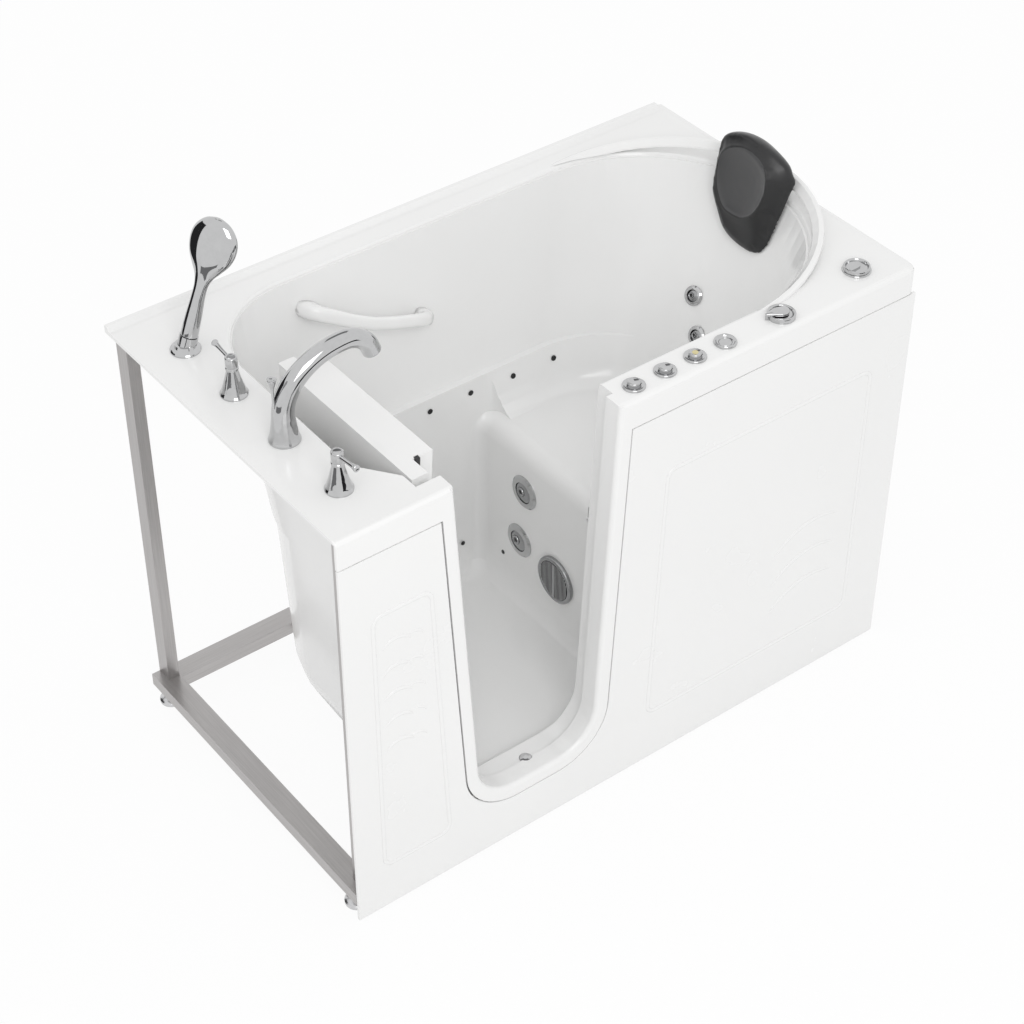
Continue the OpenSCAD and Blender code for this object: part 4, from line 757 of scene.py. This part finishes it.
def teardropKnob(place):  # broad round end over the middle, point reaching down over the ring
    tip, broad, small = Vector(knob["tip"]), knob["broad"], knob["small"]
    reach = math.atan2(tip.y, tip.x)
    bend = math.acos((broad - small) / tip.length)
    outline = []
    for center, r, start, sweep, steps in ((Vector((0, 0)), broad, reach + bend, math.tau - 2 * bend, 40),
                                           (tip, small, reach - bend, 2 * bend, 12)):
        for a in (start + sweep * k / steps for k in range(steps + 1)):
            outline.append(center + Vector((r * math.cos(a), r * math.sin(a))))
    top = []
    for z, inset in knob["levels"]:
        away = [(p - tip * knob["middle"]).normalized() for p in outline]
        top.append([place + Vector(((p.x - d.x * inset) * mm, (p.y - d.y * inset) * mm, z * mm))
                    for p, d in zip(outline, away)])
    arc = sorted((p for p in outline if p.length > knob["ringEdge"]), key=lambda p: math.atan2(p.y, -p.x))
    loop = arc + [p.normalized() * knob["skirtInner"] for p in arc][::-1]
    skirt = [[place + Vector((p.x * mm, p.y * mm, z * mm)) for p in loop] for z in knob["skirtLevels"]]
    meshes = [loftRings("knob", top), loftRings("knob", skirt)]
    for mesh in meshes:
        smoothShade(mesh, 40)
    return meshes


def ridgeMesh(place):
    rings = [[place + Vector((x * mm * long, y * mm * wide, z * mm)) for x, y in controls["ridge"]]
             for z, long, wide in controls["ridgeLevels"]]
    mesh = loftRings("ridge", rings)
    smoothShade(mesh, 40)
    return mesh


spots = [atCorner(x, controls["buttonLine"], tap["deck"]) for x in controls["buttons"]]
built("button_bezels", "turned", chromePlate, [
    *(ringOf(controls["bezel"], spot) for spot in spots[:3]), ringOf(controls["cup"], spots[3])])
for node, spot in zip(("jet_button", "air_button", "light_button"), spots):
    built(node, "turned", chromePlate, [turned("button", controls["button"], spot)])
built("light_button", "lens", lensAmber, [turned("lens", controls["lens"], spots[2])], "light_button")
built("heat_button", "turned", chromePlate, [turned("button", controls["cupButton"], spots[3])])
place = atCorner(*controls["selector"], tap["deck"])
built("jet_selector_base", "turned", chromePlate, [ringOf(controls["dialRing"], place)])
built("jet_selector", "turned", chromePlate, [turned("disc", knob["disc"], place), *teardropKnob(place)])
place = atCorner(*controls["air"], tap["deck"])
built("air_control_base", "turned", chromePlate, [ringOf(controls["airRing"], place)])
built("air_control", "turned", chromePlate, [turned("cup", controls["airCup"], place), ridgeMesh(place)])

print("jets and suction cover")
backrest = {
    "x": 1325, "y": 389.5, "z": 993, "recline": 26.3, "tilt": 25.9576, "radius": 307.5, "narrower": 0.214,
    "padRadius": 301.08, "padWider": 0.1924,
}
basin = {
    "riserX": 745, "riserFace": 78 * 0.62, "backFace": 42 * 0.62,
    "riserJets": {"riser_jet_upper": (455, 391), "riser_jet_lower": (471, 249)},
    "backJets": {"back_jet_upper": (707, 12.9), "back_jet_lower": (642, 2.9)},
    "fullFace": 48.4, "lift": 0.3,
}
onRiser = Matrix.Rotation(math.radians(-90), 3, "Y")


def backrestX(z):  # where the backrest's slope is at a height
    return backrest["x"] - (backrest["z"] - z) * math.tan(math.radians(backrest["recline"]))


def backrestPlace(z, a):
    r = backrest["radius"] - (tap["deck"] - z) * backrest["narrower"]
    a = math.radians(a)
    turn = Matrix.Rotation(a, 3, "Z") @ Matrix.Rotation(math.radians(-(90 - backrest["tilt"])), 3, "Y")
    return atCorner(backrestX(z) - r + r * math.cos(a), backrest["y"] + r * math.sin(a), z), turn


def lifted(*profile):
    return [(r, h + basin["lift"]) for r, h in profile]


jets = {n: (atCorner(basin["riserX"], y, z), onRiser, basin["riserFace"])
        for n, (y, z) in basin["riserJets"].items()}
jets.update({n: (*backrestPlace(z, a), basin["backFace"]) for n, (z, a) in basin["backJets"].items()})
for node, (spot, turn, face) in jets.items():
    eye = face / 5.2
    k = face / basin["fullFace"]
    aside = spot + turn @ Vector((0, face / 8, 0)) * mm
    plate = lifted((0.3, -8.5), (face / 2, -8.5), (face / 2, 2.6), (face / 2 - 0.8, 3.8),
                   (face / 2 - 2.4, 4.6), (face / 3, 5.3), (0.3, 5.8))
    ring = lifted((eye * 0.52, 4.6), (eye + 2.2 * k, 4.6), (eye + 2 * k, 6.8), (eye + 1.2 * k, 8),
                  (eye * 0.92, 8.4), (eye * 0.68, 7.7), (eye * 0.52, 6.2))
    bore = lifted((0.2, 5.0), (eye * 0.5, 5.0), (eye * 0.515, 6.5), (eye * 0.4, 6.6), (eye * 0.3, 6.0),
                  (0.2, 5.9))
    built(node, "turned", jetPlate, [
        turned("plate", plate, spot, turn), turned("eyeRing", ring, aside, turn, 48, True)])
    # painted shade: a near-black disc plugs the eye in place of the dark hole
    built(node, "bore", paintedHoleShade, [turned("bore", bore, aside, turn, 32)], "air_injectors")

suction = {
    "place": (345, 228), "slats": 10, "pitch": 4.2, "level": 8.1, "reach": 45.2,
    "width": 0.0024, "height": 0.0022,
    "rim": [(34.5, 0.3), (54.8, 0.3), (55, 1), (55, 4.6), (54.4, 6.8), (53, 8.8), (50.8, 10), (48.2, 10),
            (46.2, 9), (45.2, 7.4), (45, 5), (34.5, 5)],
    "bar": [(44.5, 3.6, 6), (44.5, 3.6, 9.6), (43.5, 2.4, 10.6)],  # half length, half width, height
    "dark": [(0.3, 5.2), (45.1, 5.2), (45.1, 6.8), (44, 7), (0.3, 7)],
}


def slatMesh(spot):
    rows = [row * suction["pitch"] for row in range(-suction["slats"], suction["slats"] + 1)]
    cloud = bpy.data.meshes.new("slatPoints")
    cloud.from_pydata([(0, y * mm, suction["level"] * mm) for y in rows], [], [])
    spans = [2 * math.sqrt(suction["reach"] ** 2 - y * y) * mm for y in rows]
    cloud.attributes.new("span", "FLOAT", "POINT").data.foreach_set("value", spans)
    mesh = grownMesh("slats", cloud, slatsOn, {
        "Width": suction["width"], "Height": suction["height"], "Finish": chromePlate})
    mesh.transform(Matrix.Translation(spot) @ onRiser.to_4x4())
    return mesh


spot = atCorner(basin["riserX"], *suction["place"])
bar = loftRings("bar", [[spot + onRiser @ Vector((sx * long, sy * wide, z)) * mm
                         for sx, sy in ((-1, -1), (1, -1), (1, 1), (-1, 1))]
                        for long, wide, z in suction["bar"]])
built("suction_cover", "turned", jetPlate, [
    turned("rim", suction["rim"], spot, onRiser, 96, True), slatMesh(spot), bar])
# painted shade: a near-black disc behind the slats stands in for the shade beyond the grate
built("suction_cover", "dark", paintedHoleShade, [turned("dark", suction["dark"], spot, onRiser)], "air_injectors")

print("air holes")
airHoles = {
    "size": {"radius": 5.2, "tip": 4.4, "height": 1.6}, "sides": 24,
    "places": [(1047, 559.5, 568), (745, 530, 175), (693, 605, 175)],
    "facings": [(-0.62, -0.72, 0.31), (-1, 0, 0), (0, -1, 0)],
}
# painted shade: each air hole is a near-black stud standing in for the shade down the hole
eyelets = studMesh("air_holes.more", [atCorner(*p) for p in airHoles["places"]],
                   [Vector(f).normalized() for f in airHoles["facings"]],
                   airHoles["size"], airHoles["sides"], paintedHoleShade)
dressed(bpy.data.objects.new("air_holes.more", eyelets), paintedHoleShade, "air_injectors", "air_injectors")

print("front panel")
panel = {
    "back": 7, "edge": 0.0014, "face": -381, "bead": 4.4, "beadSides": 16, "rise": 2.1, "corner": 20.6,
    "frames": [[(85, 135), (195, 135), (169, 730), (85, 730)],
               [(728, 152), (1226, 152), (1225, 730), (749, 730)]],
    # how many, step down, middle of the first, width, rise, tilt and thickness
    "arcs": [(5, 63, (111, 665), 62, 17, 0, 8.5), (5, 63, (155, 668), 36, 7, -28, 5.5),
             (3, 76, (1109, 393), 178, 32, 14, 9.5)],
    "arcSteps": 24, "arcEnd": 0.5,
}


def quadLoop(corners, radius, steps=10):  # rounded four-sided outline, corners given as (x, z)
    points = []
    count = len(corners)
    for i in range(count):
        before, here, after = (Vector(corners[(i + k) % count]) for k in (-1, 0, 1))
        normalIn = Vector((here.y - before.y, before.x - here.x)).normalized()
        normalOut = Vector((after.y - here.y, here.x - after.x)).normalized()
        a0, a1 = math.atan2(normalIn.y, normalIn.x), math.atan2(normalOut.y, normalOut.x)
        while a1 - a0 > math.pi:
            a1 -= math.tau
        while a1 - a0 < -math.pi:
            a1 += math.tau
        for a in (a0 + (a1 - a0) * k / steps for k in range(steps + 1)):
            points.append(here + Vector((math.cos(a), math.sin(a))) * radius)
    return points + [points[0]]


def arcStroke(center, width, rise, tilt, thick):  # a slim crescent: a bowed line, thick in the middle
    r = (width * width / 4 + rise * rise) / (2 * rise)
    half = math.asin(min(1.0, width / 2 / r))
    turn = Matrix.Rotation(math.radians(tilt), 2)
    steps, end = panel["arcSteps"], panel["arcEnd"]
    points, sizes = [], []
    for k in range(steps + 1):
        a = -half + 2 * half * k / steps
        points.append(Vector(center) + turn @ Vector((r * math.sin(a), r * math.cos(a) - r + rise)))
        sizes.append(end + (thick / 2 - end) * math.sin(math.pi * k / steps) ** 0.7)
    return points, sizes


def beadMesh(points, sizes):
    line = lineMesh("beadLine", [atCorner(p.x, 0, p.y) for p in points], [t * mm for t in sizes])
    mesh = welded(grownMesh("bead", line, tubeAlong, {
        "Sides": panel["beadSides"], "Thickness": 1.0, "Finish": skirtWhite}), closeHoles=True)
    face = panel["face"] * mm
    for vertex in mesh.vertices:
        vertex.co.y = face + (vertex.co.y - face) * panel["rise"] / panel["bead"]
    smoothShade(mesh, 60)
    return mesh


def plateMesh():  # the CAD's front face, given the plate's thickness again
    source = nodes["front_panel"].data
    plane = max(v.co.y for v in source.vertices)
    work = bmesh.new()
    seen = {}
    for p in source.polygons:
        if any(abs(source.vertices[i].co.y - plane) >= 1e-5 for i in p.vertices):
            continue
        for i in p.vertices:
            if i not in seen:
                seen[i] = work.verts.new(source.vertices[i].co)
        work.faces.new([seen[i] for i in p.vertices])
    bmesh.ops.remove_doubles(work, verts=work.verts, dist=2 * weldGap)
    front = bmesh.ops.extrude_face_region(work, geom=list(work.faces))
    moved = [g for g in front["geom"] if isinstance(g, bmesh.types.BMVert)]
    bmesh.ops.translate(work, verts=moved, vec=(0, -panel["back"] * mm, 0))
    bmesh.ops.recalc_face_normals(work, faces=work.faces)
    bmesh.ops.dissolve_limit(work, angle_limit=math.radians(0.5), verts=work.verts, edges=work.edges)
    mesh = bpy.data.meshes.new("panelPlate")
    work.to_mesh(mesh)
    work.free()
    plate = bpy.data.objects.new("panelPlate", mesh)
    scene.collection.objects.link(plate)
    bevel = plate.modifiers.new("edge", "BEVEL")
    bevel.width = panel["edge"]
    bevel.segments = 3
    bevel.limit_method = "ANGLE"
    bevel.angle_limit = math.radians(50)
    mesh = applied(plate)
    bpy.data.objects.remove(plate)
    smoothShade(mesh, 30)
    return mesh


def skirtMeshes():
    meshes = [plateMesh()]
    for corners in panel["frames"]:
        loop = quadLoop(corners, panel["corner"])
        meshes.append(beadMesh(loop, [panel["bead"]] * len(loop)))
    for count, down, (x, z), *form in panel["arcs"]:
        meshes += [beadMesh(*arcStroke((x, z - down * i), *form)) for i in range(count)]
    return meshes


skirt = bpy.data.objects.new("front_panel.skin", joined("front_panel.skin", skirtMeshes()))
weighted(skirt)
dressed(skirt, skirtWhite, "front_panel")

print("grab bar")
grabBar = {"start": (372, 682.7, 888), "end": (644, 657.4, 770), "side": (0.4056, 0.1914, 0.894), "sag": 12}


def grabPiece():
    piece = cleanCopy("grab_bar", "grab_bar.smooth", 180)
    start = atCorner(*grabBar["start"])
    along = atCorner(*grabBar["end"]) - start
    span = along.length
    along.normalize()
    for vertex in piece.data.vertices:
        f = max(0.0, min(1.0, (vertex.co - start).dot(along) / span))
        vertex.co -= Vector(grabBar["side"]) * grabBar["sag"] * mm * math.sin(math.pi * f) ** 2
    return piece


dressed(grabPiece(), acrylicWhite, "grab_bar")

print("headrest")
cushion = {  # places are up the backrest, across it and out of it
    "height": 925, "center": (22, 14), "steps": 6,
    "back": [(112, 62, 40), (92, 94, 34), (52, 104, 24), (8, 105, 22), (-28, 98, 18), (-62, 76, 12),
             (-90, 42, 6), (-102, -8, 4), (-97, -46, 6), (-78, -64, 9), (-50, -70, 11), (-6, -71, 12),
             (36, -72, 12), (72, -74, 14), (84, -66, 18), (100, -50, 24), (112, -18, 33), (118, 20, 38)],
    "front": [(109, 60, 84), (88, 92, 80), (50, 95, 71), (8, 93, 60), (-26, 86, 51), (-57, 66, 39),
              (-88, 39, 27), (-100, -9, 17), (-95, -50, 14), (-74, -69, 14), (-49, -75, 15), (-7, -76, 17),
              (35, -78, 19), (72, -79, 24), (83, -72, 36), (97, -59, 50), (109, -23, 72), (114, 20, 82)],
    "rim": [(87, 49), (72, 72), (48, 87), (8, 85), (-20, 74), (-42, 54), (-47, 30), (-44, 2), (-34, -17),
            (-25, -27), (-16, -34), (4, -44), (32, -51), (57, -49), (66, -46), (77, -39), (91, -15),
            (95, 20)],
    "rimPlane": (60, 0.33, 26), "behind": (0.2, 0.5, 0.75, 0.92),
    "side": [(0.06, 0.0), (0.3, 3.5), (0.55, 4.5), (0.8, 3.0), (0.95, 0.8)],  # share of the way, bulge
    "roll": [(0.06, 0.6), (0.2, -0.6), (0.45, -2.6), (0.7, -2.4), (0.88, -0.8), (0.97, 0.2)],  # share, lift
    "dish": [(1.0, 0.0), (0.965, 1.6), (0.9, 4.08), (0.75, 7.44), (0.5, 10.56), (0.22, 12)],  # share, depth
    "voxel": 0.004, "pressure": 4.0, "cap": 0.003, "frames": 20,
    "welt": 0.0016, "weltReach": 0.009, "weltWidth": 0.0032, "hollowEdge": 0.003, "hollowDepth": 0.03,
}


def onBackrest(v, u, t):
    tilt = math.radians(backrest["tilt"])
    return atCorner(backrestX(cushion["height"]) + v * math.sin(tilt) - t * math.cos(tilt), backrest["y"] + u,
                    cushion["height"] + v * math.cos(tilt) + t * math.sin(tilt))


def backrestDepth(v, u):
    r = backrest["padRadius"] + backrest["padWider"] * v
    return (r - math.sqrt(r * r - u * u)) * math.cos(math.radians(backrest["tilt"])) + 1


def cushionForm():  # the closed form and the line round its hollow
    cv, cu = cushion["center"]
    base, slope, level = cushion["rimPlane"]
    back, front, flatRim = (splineLoop([Vector(p).to_3d() for p in cushion[edge]], cushion["steps"])
                            for edge in ("back", "front", "rim"))
    rim = [Vector((p.x, p.y, base + slope * (p.x - level))) for p in flatRim]
    center = Vector((cv, cu, 0))
    middle = Vector((cv + 3, cu + 3, base + slope * (cv + 3 - level)))

    def behind(share):
        ring = []
        for p in back:
            q = center + (p - center) * share
            wall = backrestDepth(q.x, q.y)
            ring.append(Vector((q.x, q.y, wall + max(0.0, p.z - wall) * share ** 4)))
        return ring

    def onTheWay(a, b, share, out, lift):
        ring = []
        for p, q in zip(a, b):
            m = p.lerp(q, share)
            away = Vector((m.x - cv, m.y - cu, 0)).normalized()
            ring.append(m + away * out + Vector((0, 0, lift)))
        return ring

    rings = [behind(share) for share in cushion["behind"]]
    rings += [onTheWay(back, front, share, bulge, 0) for share, bulge in cushion["side"]]
    rings += [onTheWay(front, rim, share, 0, lift) for share, lift in cushion["roll"]]
    for share, depth in cushion["dish"]:
        rings.append([middle.lerp(p, share) - Vector((0, 0, depth)) for p in rim])
    mesh = loftRings("headrest.pad", [[onBackrest(*p) for p in ring] for ring in rings])
    return mesh, [onBackrest(*p) for p in rim]


def puff(piece):  # light air pressure rounds the foam under its skin
    remesh = piece.modifiers.new("even", "REMESH")
    remesh.mode = "VOXEL"
    remesh.voxel_size = cushion["voxel"]
    piece.data = applied(piece)
    start = [v.co.copy() for v in piece.data.vertices]
    cloth = piece.modifiers.new("puff", "CLOTH")
    cloth.settings.use_pressure = True
    cloth.settings.uniform_pressure_force = cushion["pressure"]
    cloth.settings.effector_weights.gravity = 0
    for frameNumber in range(1, cushion["frames"] + 1):
        scene.frame_set(frameNumber)
    depsgraph = bpy.context.evaluated_depsgraph_get()
    moved = [v.co.copy() for v in piece.evaluated_get(depsgraph).data.vertices]
    piece.modifiers.clear()
    scene.frame_set(1)
    for vertex, before, after in zip(piece.data.vertices, start, moved):
        step = after - before
        if step.length > cushion["cap"]:
            step = step.normalized() * cushion["cap"]
        vertex.co = before + step
    smooth = piece.modifiers.new("ease", "SMOOTH")
    smooth.factor = 0.5
    smooth.iterations = 4
    finer = piece.modifiers.new("finer", "SUBSURF")
    finer.levels = 1
    finer.render_levels = 1
    piece.data = applied(piece)


def addWelt(mesh, loop):  # thin welt round the hollow, and a mark on the dish it rings, where the skin is painted lighter as painted light
    count = len(loop)
    tree = KDTree(count * 4)
    for i in range(count):
        for j in range(4):
            tree.insert(loop[i].lerp(loop[(i + 1) % count], j / 4), i * 4 + j)
    tree.balance()
    normals = [v.normal.copy() for v in mesh.vertices]
    facingOut = (onBackrest(0, 0, 10) - onBackrest(0, 0, 0)).normalized()
    middle = sum(loop, Vector()) / count
    lift = (loop[0] - middle).cross(loop[count // 4] - middle).normalized()
    paintedLightShare = []
    for vertex, normal in zip(mesh.vertices, normals):
        spot, _, near = tree.find(vertex.co)
        offset, reach = vertex.co - middle, spot - middle
        flat = offset - lift * offset.dot(lift)
        onTop = abs(offset.dot(lift)) < cushion["hollowDepth"] and normal.dot(facingOut) > 0.2
        # painted light: 1 across the dish, whose skin the cushion material tints lighter
        paintedLightShare.append(ease((reach.length - flat.length) / cushion["hollowEdge"]) if onTop else 0)
        if near < cushion["weltReach"]:
            vertex.co += normal * cushion["welt"] * math.exp(-(near / cushion["weltWidth"]) ** 2)
    mesh.attributes.new("hollow", "FLOAT", "POINT").data.foreach_set("value", paintedLightShare)
    mesh.update()


padMesh, hollowLine = cushionForm()
pad = bpy.data.objects.new("headrest.pad", padMesh)
scene.collection.objects.link(pad)
puff(pad)
addWelt(pad.data, hollowLine)
smoothShade(pad.data, 180)
dressed(pad, cushionSkin, "headrest")

print("carried over pieces")
for node in nodes:
    if node not in rebuilt:
        dressed(cleanCopy(node, node + ".smooth"), finishOf[node], node)
